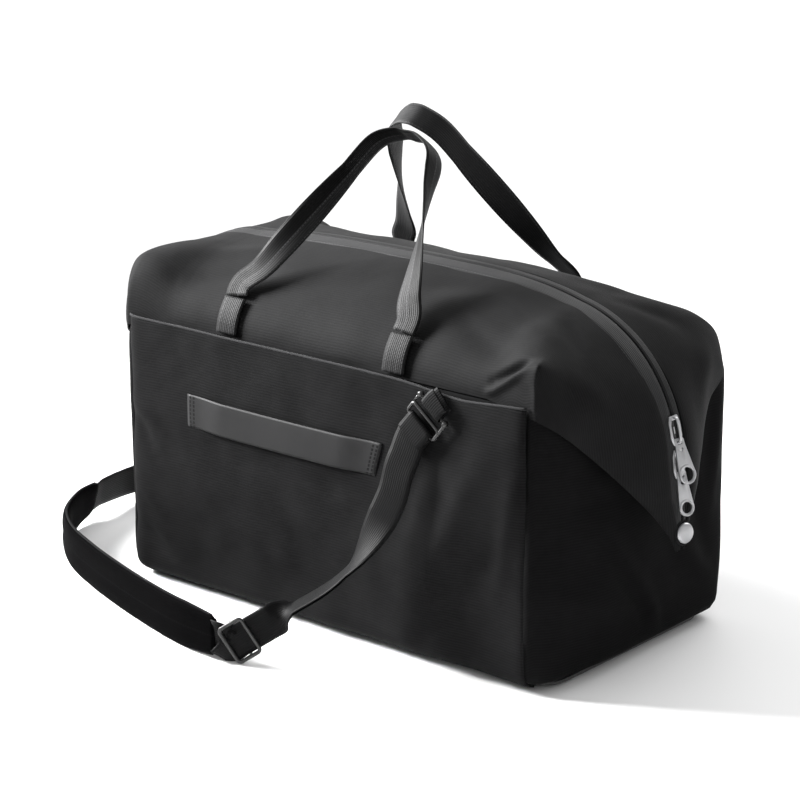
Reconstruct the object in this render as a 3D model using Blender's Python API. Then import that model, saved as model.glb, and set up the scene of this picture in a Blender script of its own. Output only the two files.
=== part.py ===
"""A weekender bag: soft rectangular body on a stiffened base, a domed roof that opens along a curved zip,
two webbing handles, a slip pocket with a luggage band, and a padded shoulder strap lying beside it.

Metres, +Z up. The origin is the centre of the base, +X runs along the bag towards the end where the
zip sliders park, and the pocket is on the -Y side."""

import math

import bmesh
import bpy
from mathutils import Matrix, Vector

# Driving dimensions
BASE_LENGTH = 0.520
BASE_DEPTH = 0.278
BASE_CORNER = 0.035
GAP = 0.0003  # between pieces that lie on each other
PANEL = 0.003  # padded wall cloth
SKIN = 0.0022  # roof and wing cloth
WALL_TOP = 0.262
END_WALL_TOP = 0.245
POCKET_DEPTH = 0.0044  # room inside the slip pocket
POCKET_SKIN = 0.0023
POCKET_LEFT, POCKET_RIGHT = -0.240, 0.236
ROOF_HALF_LENGTH = 0.190
ROOF_HINGE_Z = 0.2655
RIDGE_Z = 0.3345
ZIP_HALF_GAP = 0.0090  # roof cloth stops this far from the centre line
WING_START = 0.193
WING_CORNER_X = 0.269
BEAK_TIP_Z = 0.116
BEAK_TIP_X = 0.3055
RIGHT_ARC = (0.163, 0.190, 0.133)  # centre x, centre z and radius of the zip's curve, away from the middle
LEFT_ARC = (0.200, 0.224, 0.102)
WEBBING = 0.0255  # handle webbing width
WEBBING_THICK = 0.0026
HANDLE_LEGS = (-0.116, 0.086)
STRAP_WIDTH = 0.031
STRAP_THICK = 0.0016
BAND_LEFT, BAND_RIGHT = -0.162, 0.074
BAND_LOW, BAND_HIGH = 0.167, 0.200
SLIDER_LENGTH, SLIDER_WIDTH = 0.026, 0.016
PULL_LENGTH = 0.041
UPPER_SLIDER_Z, LOWER_SLIDER_Z = 0.222, 0.193
SNAP_Z = 0.130
SNAP_RADIUS = 0.0092

FRONT_HINGE_Y = -0.1335
BACK_HINGE_Y = 0.1390
HALF_LENGTH = BASE_LENGTH / 2
HALF_DEPTH = BASE_DEPTH / 2
SECTION_STEPS = (0.0, 0.2, 0.4, 0.6, 0.75, 0.87, 0.95, 1.0)


# Scene and material helpers


def clear_scene():
    for ob in list(bpy.data.objects):
        bpy.data.objects.remove(ob, do_unlink=True)


def make_material(name, colour, roughness, metallic=0.0):
    mat = bpy.data.materials.new(name)
    mat.use_nodes = True
    shader = mat.node_tree.nodes["Principled BSDF"]
    shader.inputs["Base Color"].default_value = (*colour, 1.0)
    shader.inputs["Roughness"].default_value = roughness
    shader.inputs["Metallic"].default_value = metallic
    return mat


FINISHES = {
    "cloth": ((0.012, 0.012, 0.014), 0.85, 0.0),
    "lining": ((0.06, 0.06, 0.065), 0.8, 0.0),
    "webbing": ((0.02, 0.02, 0.022), 0.7, 0.0),
    "band": ((0.03, 0.03, 0.032), 0.45, 0.0),
    "board": ((0.03, 0.03, 0.03), 0.6, 0.0),
    "coil": ((0.01, 0.01, 0.01), 0.5, 0.0),
    "silver": ((0.42, 0.42, 0.43), 0.38, 1.0),
    "black_metal": ((0.012, 0.012, 0.013), 0.25, 0.6),
    "pad": ((0.016, 0.016, 0.018), 0.85, 0.0),
}


def add_object(name, bm, finish, place=None):
    """Makes an object from a bmesh, with its normals out and a material of its own."""
    bmesh.ops.recalc_face_normals(bm, faces=bm.faces)
    mesh = bpy.data.meshes.new(name)
    bm.to_mesh(mesh)
    bm.free()
    mesh.materials.append(make_material(name, *FINISHES[finish]))
    ob = bpy.data.objects.new(name, mesh)
    if place is not None:
        ob.matrix_world = place
    bpy.context.scene.collection.objects.link(ob)
    return ob


# Shape helpers


def rounded_outline(centre_y, half_x, half_y, radius, steps=6):
    """A rounded rectangle, anticlockwise from its lower right corner."""
    points = []
    for quarter in range(4):
        sx = (1, 1, -1, -1)[quarter]
        sy = (-1, 1, 1, -1)[quarter]
        for i in range(steps + 1):
            a = math.radians(-90 + 90 * quarter + 90 * i / steps)
            x = sx * (half_x - radius) + radius * math.cos(a)
            y = centre_y + sy * (half_y - radius) + radius * math.sin(a)
            points.append((x, y))
    return points


def prism(name, outline, low, high, finish):
    bm = bmesh.new()
    face = bm.faces.new([bm.verts.new((x, y, low)) for x, y in outline])
    out = bmesh.ops.extrude_face_region(bm, geom=[face])
    top = [v for v in out["geom"] if isinstance(v, bmesh.types.BMVert)]
    bmesh.ops.translate(bm, verts=top, vec=(0, 0, high - low))
    return add_object(name, bm, finish)


def sheet_shell(name, rows, thickness, finish):
    """A closed shell: rows is a grid of outer points, thickened away from the side that looks out."""
    bm = bmesh.new()
    grid = [[bm.verts.new(p) for p in row] for row in rows]
    for a, b in zip(grid, grid[1:]):
        for i in range(len(a) - 1):
            bm.faces.new((a[i], a[i + 1], b[i + 1], b[i]))
    bm.normal_update()
    middle = bm.faces[:]
    inside = Vector((0, 0, 0.15))
    outward = sum(f.normal.dot(f.calc_center_median() - inside) for f in middle)
    if outward < 0:
        bmesh.ops.reverse_faces(bm, faces=middle)
        bm.normal_update()
    normals = {v: v.normal.copy() for v in bm.verts}
    inner = {v: bm.verts.new(v.co - n * thickness) for v, n in normals.items()}
    rim = [e for e in bm.edges if len(e.link_faces) == 1]
    for f in middle:
        bm.faces.new([inner[v] for v in reversed(f.verts)])
    for e in rim:
        a, b = e.verts
        bm.faces.new((a, b, inner[b], inner[a]))
    return add_object(name, bm, finish)


def ribbon(name, points, sides, width, thickness, finish):
    """A flat strap along points, with its width along sides at each point."""
    bm = bmesh.new()
    rings = []
    for i, p in enumerate(points):
        before = points[max(i - 1, 0)]
        after = points[min(i + 1, len(points) - 1)]
        along = (after - before).normalized()
        side = (sides[i] - along * sides[i].dot(along)).normalized()
        flat = along.cross(side)
        corners = []
        for a, b in ((1, 1), (-1, 1), (-1, -1), (1, -1)):
            corners.append(bm.verts.new(p + side * (a * width / 2) + flat * (b * thickness / 2)))
        rings.append(corners)
    for a, b in zip(rings, rings[1:]):
        for i in range(4):
            j = (i + 1) % 4
            bm.faces.new((a[i], a[j], b[j], b[i]))
    bm.faces.new(rings[0])
    bm.faces.new(rings[-1])
    return add_object(name, bm, finish)


def smooth_path(points, count):
    """A Catmull-Rom curve through the points, resampled to count even steps."""
    dense = []
    for i in range(len(points) - 1):
        p0 = points[max(i - 1, 0)]
        p1 = points[i]
        p2 = points[i + 1]
        p3 = points[min(i + 2, len(points) - 1)]
        for k in range(20):
            t = k / 20
            dense.append(
                0.5
                * (
                    2 * p1
                    + (p2 - p0) * t
                    + (2 * p0 - 5 * p1 + 4 * p2 - p3) * t**2
                    + (3 * p1 - p0 - 3 * p2 + p3) * t**3
                )
            )
    dense.append(points[-1].copy())
    lengths = [0.0]
    for a, b in zip(dense, dense[1:]):
        lengths.append(lengths[-1] + (b - a).length)
    result = []
    k = 0
    for i in range(count):
        want = lengths[-1] * i / (count - 1)
        while k < len(dense) - 2 and lengths[k + 1] < want:
            k += 1
        span = max(lengths[k + 1] - lengths[k], 1e-9)
        result.append(dense[k].lerp(dense[k + 1], min((want - lengths[k]) / span, 1.0)))
    return result


def blended_sides(keys, count):
    """Side directions that turn evenly between keys, each a share of the length and a direction."""
    sides = []
    for i in range(count):
        t = i / (count - 1)
        for (t0, a), (t1, b) in zip(keys, keys[1:]):
            if t <= t1:
                sides.append(a.lerp(b, (t - t0) / (t1 - t0)))
                break
    return sides


def plate(name, outlines, thickness, place, finish):
    """A flat plate in its own XY plane, cut from one outline with holes."""
    curve = bpy.data.curves.new(name, "CURVE")
    curve.dimensions = "2D"
    curve.fill_mode = "BOTH"
    curve.extrude = thickness / 2
    for outline in outlines:
        spline = curve.splines.new("POLY")
        spline.points.add(len(outline) - 1)
        for point, (x, y) in zip(spline.points, outline):
            point.co = (x, y, 0, 1)
        spline.use_cyclic_u = True
    curve.materials.append(make_material(name, *FINISHES[finish]))
    ob = bpy.data.objects.new(name, curve)
    ob.matrix_world = place
    bpy.context.scene.collection.objects.link(ob)
    return ob


def circle(x, y, radius, steps=20):
    return [
        (x + radius * math.cos(2 * math.pi * i / steps), y + radius * math.sin(2 * math.pi * i / steps))
        for i in range(steps)
    ]


def frame_at(origin, x_axis, y_axis):
    """A placement matrix with the given axes."""
    x = x_axis.normalized()
    z = x.cross(y_axis).normalized()
    y = z.cross(x)
    return Matrix.Translation(origin) @ Matrix((x, y, z)).transposed().to_4x4()


# Base, walls and lining


def build_base():
    prism(
        "base_panel",
        rounded_outline(0, HALF_LENGTH, HALF_DEPTH, BASE_CORNER),
        0,
        PANEL,
        "cloth",
    )
    inset = 0.010
    prism(
        "base_board",
        rounded_outline(0.0033, HALF_LENGTH - inset, 0.122, BASE_CORNER - inset),
        PANEL + GAP,
        2 * PANEL + GAP,
        "board",
    )


def wall_outlines():
    """The tub's outer outline as right, back, left and front runs, each with one more point before and
    after it. The end runs take the corners with them."""
    front = -HALF_DEPTH + POCKET_SKIN + POCKET_DEPTH
    centre = (front + HALF_DEPTH) / 2
    half = (HALF_DEPTH - front) / 2
    steps = 6
    points = rounded_outline(centre, HALF_LENGTH - 0.0015, half, 0.030, steps)
    per_end = 2 * (steps + 1)
    spans = ((0, per_end - 1), (per_end - 1, per_end), (per_end, 2 * per_end - 1), (2 * per_end - 1, 2 * per_end))
    return [[points[i % len(points)] for i in range(first - 1, last + 2)] for first, last in spans]


def build_walls():
    names = ("end_panel_right", "back_panel", "end_panel_left", "front_panel")
    tops = (END_WALL_TOP, WALL_TOP, END_WALL_TOP, WALL_TOP)
    for name, run, top in zip(names, wall_outlines(), tops):
        inner = []
        outer = []
        for i in range(1, len(run) - 1):
            x, y = run[i]
            ax, ay = run[i - 1]
            bx, by = run[i + 1]
            size = math.hypot(bx - ax, by - ay)
            dx, dy = (bx - ax) / size, (by - ay) / size
            slip = GAP / 2 if i == 1 else -GAP / 2 if i == len(run) - 2 else 0.0
            x += dx * slip
            y += dy * slip
            outer.append((x, y))
            inner.append((x - dy * PANEL, y + dx * PANEL))
        prism(name, outer + inner[::-1], PANEL + GAP, top, "cloth")


def build_lining():
    """A thin tub of lining cloth: floor and four walls, open at the top."""
    thick = 0.0012
    low = 2 * PANEL + 2 * GAP
    outer = rounded_outline(0.0033, 0.250, 0.1280, 0.024)
    inner = rounded_outline(0.0033, 0.250 - thick, 0.1280 - thick, 0.024 - thick)
    bm = bmesh.new()
    rings = []
    for outline, z in ((outer, low), (outer, 0.242), (inner, 0.242), (inner, low + thick)):
        rings.append([bm.verts.new((x, y, z)) for x, y in outline])
    for a, b in zip(rings, rings[1:]):
        for i in range(len(a)):
            j = (i + 1) % len(a)
            bm.faces.new((a[i], a[j], b[j], b[i]))
    bm.faces.new(rings[0])
    bm.faces.new(rings[-1])
    add_object("lining", bm, "lining")


def build_pocket():
    """The slip pocket's outer sheet, with the narrow side and bottom returns that are sewn to the wall."""
    face = -HALF_DEPTH
    back = face + POCKET_SKIN + POCKET_DEPTH - GAP
    low = PANEL + GAP
    wide = 0.0025
    outline = [
        (POCKET_LEFT, face),
        (POCKET_RIGHT, face),
        (POCKET_RIGHT, back),
        (POCKET_RIGHT - wide, back),
        (POCKET_RIGHT - wide, face + POCKET_SKIN),
        (POCKET_LEFT + wide, face + POCKET_SKIN),
        (POCKET_LEFT + wide, back),
        (POCKET_LEFT, back),
    ]
    prism("slip_pocket", outline, low, WALL_TOP, "cloth")


def build_luggage_band():
    """A band sewn down at both ends, standing off the pocket between them."""
    face = -HALF_DEPTH
    near = face - GAP - 0.001
    far = face - 0.0044 - 0.0010
    mid_z = (BAND_LOW + BAND_HIGH) / 2
    xs = (BAND_LEFT, BAND_LEFT + 0.014, BAND_LEFT + 0.024, BAND_RIGHT - 0.024, BAND_RIGHT - 0.014, BAND_RIGHT)
    ys = (near, near, far, far, near, near)
    points = [Vector((x, y, mid_z)) for x, y in zip(xs, ys)]
    sides = [Vector((0, 0, 1))] * len(points)
    ribbon("luggage_band", points, sides, BAND_HIGH - BAND_LOW, 0.0018, "band")


# Roof and wings


def ridge_z(x):
    """Height of the zip line over the middle of the bag."""
    if x > 0:
        return RIDGE_Z - 0.0145 * (x / ROOF_HALF_LENGTH) ** 4
    return RIDGE_Z - 0.0085 * (-x / ROOF_HALF_LENGTH) ** 3


def dome(f):
    """Share of the height left at share f of the way from the zip to the hinge line."""
    return (1 - f**2.5) ** (1 / 1.8)


def roof_stations(count=13):
    return [ROOF_HALF_LENGTH * (2 * i / (count - 1) - 1) for i in range(count)]


def build_roof(name, hinge_y):
    side = math.copysign(1, hinge_y)
    rows = []
    for x in roof_stations():
        row = []
        for f in SECTION_STEPS:
            y = side * (ZIP_HALF_GAP + (abs(hinge_y) - ZIP_HALF_GAP) * f)
            z = ROOF_HINGE_Z + (ridge_z(x) + 0.001 - ROOF_HINGE_Z) * dome(f)
            row.append(Vector((x, y, z)))
        rows.append(row)
    sheet_shell(name, rows, SKIN, "cloth")


def arc_start(arc):
    return math.acos((WING_START - arc[0]) / arc[2])


def arc_end(arc):
    """Angle on the zip's curve where it runs straight on, in line, to the beak's tip."""
    cx, cz, radius = arc
    away_x, away_z = BEAK_TIP_X - cx, BEAK_TIP_Z - cz
    return math.atan2(away_z, away_x) + math.acos(radius / math.hypot(away_x, away_z))


def end_profile(arc, offset, steps=12, runs=3, low=BEAK_TIP_Z):
    """Points (x, z) and outward normals down the zip's curve at one end, for x away from the middle."""
    cx, cz, radius = arc
    points = []
    start, end = arc_start(arc), arc_end(arc)
    for i in range(steps + 1):
        a = start + (end - start) * i / steps
        points.append(
            (cx + (radius + offset) * math.cos(a), cz + (radius + offset) * math.sin(a), math.cos(a), math.sin(a))
        )
    top_x, top_z = points[-1][0], points[-1][1]
    for i in range(1, runs + 1):
        z = top_z + (low - top_z) * i / runs
        points.append((top_x + (top_z - z) * math.tan(end), z, math.cos(end), math.sin(end)))
    return points


def build_wing(name, end, hinge_y, arc):
    """A wing: the gusset cloth between the zip's curve and the top corner of the wall, down to the tip."""
    side = math.copysign(1, hinge_y)
    curve = end_profile(arc, 0.001)
    rows = []
    for i, (cx, cz, _, _) in enumerate(curve):
        v = i / (len(curve) - 1)
        corner_x = WING_START + (WING_CORNER_X - WING_START) * v**0.75
        corner_z = ROOF_HINGE_Z - 0.0015 * v
        row = []
        for f in SECTION_STEPS:
            g = (1 - v) * (1 - dome(f)) + v * f
            y = side * (ZIP_HALF_GAP + (abs(hinge_y) + 0.003 * v - ZIP_HALF_GAP) * f)
            row.append(Vector((end * (cx + (corner_x - cx) * g), y, cz + (corner_z - cz) * g)))
        rows.append(row)
    sheet_shell(name, rows, SKIN, "cloth")


# Zip


def zip_strip(name, path, y_low, y_high, n_low, n_high, finish):
    """A strip along the zip: path holds points with outward normals, y and n bound the section."""
    bm = bmesh.new()
    rings = []
    for x, z, nx, nz in path:
        ring = []
        for y, n in ((y_low, n_low), (y_high, n_low), (y_high, n_high), (y_low, n_high)):
            ring.append(bm.verts.new((x + nx * n, y, z + nz * n)))
        rings.append(ring)
    for a, b in zip(rings, rings[1:]):
        for i in range(4):
            j = (i + 1) % 4
            bm.faces.new((a[i], a[j], b[j], b[i]))
    bm.faces.new(rings[0])
    bm.faces.new(rings[-1])
    add_object(name, bm, finish)


def build_zip():
    top = [(x, ridge_z(x), 0.0, 1.0) for x in roof_stations()]
    ends = {}
    for label, end, arc in (("right", 1, RIGHT_ARC), ("left", -1, LEFT_ARC)):
        curve = end_profile(arc, 0.0, low=0.144)
        ends[label] = [(end * x, z, end * nx, nz) for x, z, nx, nz in curve]
    for label, path in (("top", top), ("right", ends["right"]), ("left", ends["left"])):
        for half, side in (("front", -1), ("back", 1)):
            y = sorted((side * 0.0015, side * 0.0043))
            zip_strip(f"zip_teeth_{label}_{half}", path, *y, -0.0013, 0.0013, "coil")
            y = sorted((side * 0.0046, side * 0.0074))
            zip_strip(f"zip_tape_{label}_{half}", path, *y, -0.0006, 0.0002, "cloth")


def zip_frame(arc, end, z, height=0.0):
    """A place on the zip at height z: its X runs down along the zip, its Y across it and its Z outward,
    and it stands off by height."""
    cx, cz, radius = arc
    lowest = arc_end(arc)
    a = max(math.asin((z - cz) / radius), lowest)
    along = (cz + radius * math.sin(lowest) - z) / math.cos(lowest) if a == lowest else 0.0
    down = Vector((end * math.sin(a), 0, -math.cos(a)))
    out = Vector((end * math.cos(a), 0, math.sin(a)))
    origin = Vector((end * cx, 0, cz)) + out * (radius + height) + down * along
    return frame_at(origin, down, out.cross(down))


def add_block(bm, low, high):
    made = bmesh.ops.create_cube(bm, size=1.0)
    for v in made["verts"]:
        v.co = Vector(low[k] if v.co[k] < 0 else high[k] for k in range(3))
    return made["verts"]


def join_blocks(name, blocks, finish, place):
    """One solid from overlapping blocks, united with Boolean modifiers."""
    parts = []
    for i, (low, high) in enumerate(blocks):
        bm = bmesh.new()
        add_block(bm, low, high)
        label = name if i == 0 else f"{name}_block_{i}"
        parts.append(add_object(label, bm, finish, place))
    main = parts[0]
    for other in parts[1:]:
        union = main.modifiers.new(other.name, "BOOLEAN")
        union.operation = "UNION"
        union.object = other
        other.hide_render = True
        other.display_type = "WIRE"
    return main


BRIDGE_FOOT = 0.0100  # from the slider's middle to its lower bridge foot
PIVOT_BACK = 0.0021  # from that foot to the pull's pivot
PIVOT_HEIGHT = 0.0044


def build_slider(name, z):
    half_l, half_w = SLIDER_LENGTH / 2, SLIDER_WIDTH / 2
    blocks = (
        ((-half_l, -half_w, 0.0017), (half_l, half_w, 0.0033)),
        ((-0.0030, -0.0008, -0.0030), (0.0030, 0.0008, 0.0025)),
        ((-half_l + 0.002, -0.0040, -0.0040), (half_l - 0.002, 0.0040, -0.0025)),
        ((-0.0010, -0.0012, 0.0030), (0.0008, 0.0012, 0.0060)),
        ((BRIDGE_FOOT - 0.0009, -0.0012, 0.0030), (BRIDGE_FOOT + 0.0009, 0.0012, 0.0060)),
        ((-0.0010, -0.0012, 0.0056), (BRIDGE_FOOT + 0.0009, 0.0012, 0.0071)),
    )
    return join_blocks(name, blocks, "silver", zip_frame(RIGHT_ARC, 1, z))


def pull_outline():
    """A tapered pull: a narrow eye at the pivot and a wide round end, along +X."""
    narrow, wide = 0.0052, 0.0088
    end_x = PULL_LENGTH - wide
    outline = [(-0.0007, -narrow + 0.001), (-0.0007, narrow - 0.001), (0.0006, narrow)]
    for i in range(13):
        a = math.radians(100 - 200 * i / 12)
        outline.append((end_x + wide * math.cos(a), wide * math.sin(a)))
    outline.append((0.0006, -narrow))
    return outline


def build_pull(name, z, lean):
    """A pull hanging on a slider's bridge, leaning out from the zip by lean degrees."""
    place = zip_frame(RIGHT_ARC, 1, z) @ Matrix.Translation((BRIDGE_FOOT - PIVOT_BACK, 0, PIVOT_HEIGHT))
    place = place @ Matrix.Rotation(math.radians(-lean), 4, "Y")
    eye = [(0.0007, -0.0026), (0.0052, -0.0026), (0.0052, 0.0026), (0.0007, 0.0026)]
    hole = circle(PULL_LENGTH - 0.0088, 0, 0.0056)
    return plate(name, [pull_outline(), eye, hole], 0.0014, place, "silver")


def lathe(name, profile, place, finish, steps=24):
    """A turned solid about its own Z, from a profile of (radius, height) that starts and ends on the axis."""
    bm = bmesh.new()
    rings = []
    for radius, height in profile:
        if radius == 0:
            rings.append([bm.verts.new((0, 0, height))])
            continue
        ring = []
        for i in range(steps):
            a = 2 * math.pi * i / steps
            ring.append(bm.verts.new((radius * math.cos(a), radius * math.sin(a), height)))
        rings.append(ring)
    for a, b in zip(rings, rings[1:]):
        for i in range(steps):
            j = (i + 1) % steps
            corners = [a[i % len(a)], a[j % len(a)], b[j % len(b)], b[i % len(b)]]
            bm.faces.new(list(dict.fromkeys(corners)))
    ob = add_object(name, bm, finish, place)
    ob.data.shade_smooth()
    return ob


def build_snap(label, end, arc):
    """The end tab over the foot of the zip, and the press stud's domed cap on it."""
    place = zip_frame(arc, end, SNAP_Z, 0.0024)
    tab = []
    for i in range(16):
        a = 2 * math.pi * i / 16
        tab.append((0.0125 * math.cos(a), 0.0115 * math.sin(a)))
    plate(f"zip_end_tab_{label}", [tab], 0.0012, place, "cloth")
    dome_profile = [(0, 0.0010)]
    dome_profile.append((SNAP_RADIUS, 0.0010))
    dome_profile.append((SNAP_RADIUS, 0.0018))
    for i in range(1, 5):
        a = math.radians(90 * i / 5)
        dome_profile.append((SNAP_RADIUS * math.cos(a) ** 0.6, 0.0018 + 0.0026 * math.sin(a)))
    dome_profile.append((0, 0.0044))
    lathe(f"snap_cap_{label}", dome_profile, place, "silver")


# Handles


def roof_height(y_out):
    """Height of the roof's outer surface midway along, at a distance y_out from the centre line."""
    hinge = abs(FRONT_HINGE_Y)
    f = (y_out - ZIP_HALF_GAP) / (hinge - ZIP_HALF_GAP)
    return ROOF_HINGE_Z + (RIDGE_Z + 0.001 - ROOF_HINGE_Z) * dome(f)


def build_anchor(name, x, hinge_y):
    """The sewn foot of a handle, flat on the roof from the hinge line up to the cross stitching."""
    side = math.copysign(1, hinge_y)
    shift = abs(hinge_y) - abs(FRONT_HINGE_Y)
    stand_off = GAP + WEBBING_THICK / 2
    raw = []
    for i in range(7):
        y = abs(FRONT_HINGE_Y) - 0.0001 - 0.0125 * (i / 6) ** 1.6
        raw.append((y, roof_height(y)))
    points = []
    for i, (y, z) in enumerate(raw):
        y0, z0 = raw[max(i - 1, 0)]
        y1, z1 = raw[min(i + 1, 6)]
        run = Vector((0, y1 - y0, z1 - z0)).normalized()
        out = Vector((0, run.z, -run.y))
        points.append(Vector((x, side * (y + shift + out.y * stand_off), z + out.z * stand_off)))
    ribbon(name, points, [Vector((1, 0, 0))] * len(points), WEBBING, WEBBING_THICK, "webbing")
    return points


def build_handle(name, feet, top_left, top_right, top_z):
    """A loop of webbing: flat on the roof at its feet, turned on edge over its top."""
    left, right = feet
    lean = (top_left - left).normalized()
    lean_right = (top_right - right).normalized()
    side = Vector((math.copysign(1, left.y), 0, 0))
    facing = side.cross((top_left + top_right) / 2 - (left + right) / 2).normalized()
    height = top_z - top_left.z
    crown = (top_left + top_right) / 2 + Vector((0, (lean.y + lean_right.y) * height / (2 * lean.z), height))
    straight = Vector((0, lean.y, lean.z)).normalized() * 0.014
    key = [
        left,
        left + straight,
        left.lerp(top_left, 0.19),
        left.lerp(top_left, 0.35),
        left.lerp(top_left, 0.6),
        left.lerp(top_left, 0.8),
        top_left,
        top_left.lerp(crown, 0.55) + lean * 0.006,
        crown,
        top_right.lerp(crown, 0.55) + lean_right * 0.006,
        top_right,
        right.lerp(top_right, 0.8),
        right.lerp(top_right, 0.6),
        right.lerp(top_right, 0.35),
        right.lerp(top_right, 0.19),
        right + straight,
        right,
    ]
    count = 65
    path = smooth_path(key, count)
    sides = []
    for i, p in enumerate(path):
        before = path[max(i - 1, 0)]
        after = path[min(i + 1, count - 1)]
        along = (after - before).normalized()
        in_plane = along.cross(facing)
        right_half = i > count // 2
        if in_plane.x > 0 and right_half or in_plane.x < 0 and not right_half:
            in_plane.negate()
        share = min(i, count - 1 - i) / (count // 2)
        turn = math.radians(90) * min(max((share - 0.12) / 0.6, 0), 1)
        sides.append(in_plane * math.cos(turn) + facing * math.sin(turn))
    ribbon(name, path, sides, WEBBING, WEBBING_THICK, "webbing")


def build_handles():
    for half, hinge_y in (("front", FRONT_HINGE_Y), ("back", BACK_HINGE_Y)):
        feet = []
        for label, x in zip(("left", "right"), HANDLE_LEGS):
            points = build_anchor(f"handle_anchor_{half}_{label}", x, hinge_y)
            last, before = points[-1], points[-2]
            feet.append(last + (last - before).normalized() * (WEBBING_THICK / 2 + 0.0019))
        if half == "front":
            build_handle("handle_front", feet, Vector((-0.028, -0.025, 0.441)), Vector((0.041, -0.025, 0.436)), 0.452)
        else:
            build_handle("handle_back", feet, Vector((-0.040, 0.015, 0.450)), Vector((0.018, 0.015, 0.450)), 0.465)


# Shoulder strap

HOOK_CENTRE = Vector((0.1345, -0.1475, 0.2375))
HOOK_DOWN = Vector((-0.62, 0.0, -0.76)).normalized()
HOOK_BAR = Vector((0.775, 0.0, -0.632)).normalized()
SLOT_LENGTH, SLOT_HEIGHT, BAR = 0.0335, 0.0080, 0.0032
HOOK_PLATE = 0.0036


def hook_place(end):
    """The hook's frame: X along its bars, Y from the tab to the strap. The right hook is on the front
    and the left one on the back, and the strap leaves both towards the bag's left end."""
    centre = Vector((end * HOOK_CENTRE.x, end * HOOK_CENTRE.y, HOOK_CENTRE.z))
    return frame_at(centre, HOOK_BAR, HOOK_DOWN)


def build_hook(label, end):
    """A flat gated hook: two slots side by side, one open at its side where the gate swings in."""
    half_x = SLOT_LENGTH / 2 + BAR
    half_y = 1.5 * BAR + SLOT_HEIGHT
    slot_in = SLOT_LENGTH / 2
    low_slot = -BAR / 2 - SLOT_HEIGHT
    outline = [
        (-half_x, half_y),
        (-half_x, low_slot + SLOT_HEIGHT),
        (-slot_in, low_slot + SLOT_HEIGHT),
        (slot_in, low_slot + SLOT_HEIGHT),
        (slot_in, low_slot),
        (-slot_in, low_slot),
        (-half_x, low_slot - 0.0003),
        (-half_x, -half_y),
        (half_x, -half_y),
        (half_x, half_y),
    ]
    hole = [
        (-slot_in, BAR / 2),
        (slot_in, BAR / 2),
        (slot_in, BAR / 2 + SLOT_HEIGHT),
        (-slot_in, BAR / 2 + SLOT_HEIGHT),
    ]
    plate(f"hook_{label}", [outline, hole], HOOK_PLATE, hook_place(end), "black_metal")
    round_end = 0.0013
    pivot_x = -half_x + round_end
    pivot_y = low_slot + SLOT_HEIGHT - GAP - round_end
    gate = [(pivot_x - round_end, low_slot + GAP), (pivot_x + round_end, low_slot + GAP)]
    for i in range(9):
        a = math.pi * i / 8
        gate.append((pivot_x + round_end * math.cos(a), pivot_y + round_end * math.sin(a)))
    plate(f"hook_gate_{label}", [gate], HOOK_PLATE - 0.0008, hook_place(end), "black_metal")


def build_tab(label, end):
    """The short loop of webbing from the pocket seam round the hook's upper bar."""
    place = hook_place(end)
    bar_y = -BAR - SLOT_HEIGHT
    radius = HOOK_PLATE / 2 + 0.0010 + STRAP_THICK / 2
    points = [Vector((0.001, bar_y - 0.014, radius - 0.0004)), Vector((0, bar_y - 0.008, radius))]
    for i in range(9):
        a = math.pi * i / 8
        points.append(Vector((0, bar_y + (radius) * math.sin(a), radius * math.cos(a))))
    points.append(Vector((0, bar_y - 0.008, -radius)))
    points.append(Vector((0.001, bar_y - 0.014, -radius + 0.0004)))
    world = [place @ p for p in points]
    sides = [place.to_3x3() @ Vector((1, 0, 0))] * len(world)
    ribbon(f"strap_tab_{label}", world, sides, 0.024, STRAP_THICK, "webbing")


GLIDE_CENTRE = Vector((-0.0050, -0.2405, 0.0228))
GLIDE_ALONG = Vector((0.64, 0.45, 0.50)).normalized()
GLIDE_ACROSS = Vector((0.45, 0.25, -0.86))


def build_strap():
    """The strap: doubled webbing from the right hook to the tri-glide, a padded length, and webbing
    round the far end of the bag to the left hook."""
    place = hook_place(1)
    start = place @ Vector((0, BAR + SLOT_HEIGHT + HOOK_PLATE / 2 + 0.0014, 0))
    low = GLIDE_CENTRE - GLIDE_ALONG * 0.012
    key = [
        start,
        start + HOOK_DOWN * 0.012,
        start + HOOK_DOWN * 0.020 + Vector((0.001, -0.004, -0.010)),
        Vector((0.1100, -0.1560, 0.1850)),
        Vector((0.1050, -0.1600, 0.1600)),
        Vector((0.0930, -0.1670, 0.1300)),
        Vector((0.0760, -0.1780, 0.0960)),
        Vector((0.0580, -0.1890, 0.0740)),
        GLIDE_CENTRE + GLIDE_ALONG * 0.060,
        GLIDE_CENTRE + GLIDE_ALONG * 0.045,
        GLIDE_CENTRE + GLIDE_ALONG * 0.030,
        GLIDE_CENTRE + GLIDE_ALONG * 0.015,
        GLIDE_CENTRE,
        low,
    ]
    count = 57
    path = smooth_path(key, count)
    bar = place.to_3x3() @ Vector((1, 0, 0))
    keys = ((0.0, bar), (0.35, bar), (0.68, GLIDE_ACROSS), (1.0, GLIDE_ACROSS))
    sides = blended_sides(keys, count)
    ribbon("strap_front", path, sides, STRAP_WIDTH, 2 * STRAP_THICK, "webbing")
    build_tri_glide()
    pad_path = build_pad()
    build_rear_webbing(pad_path)


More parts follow.
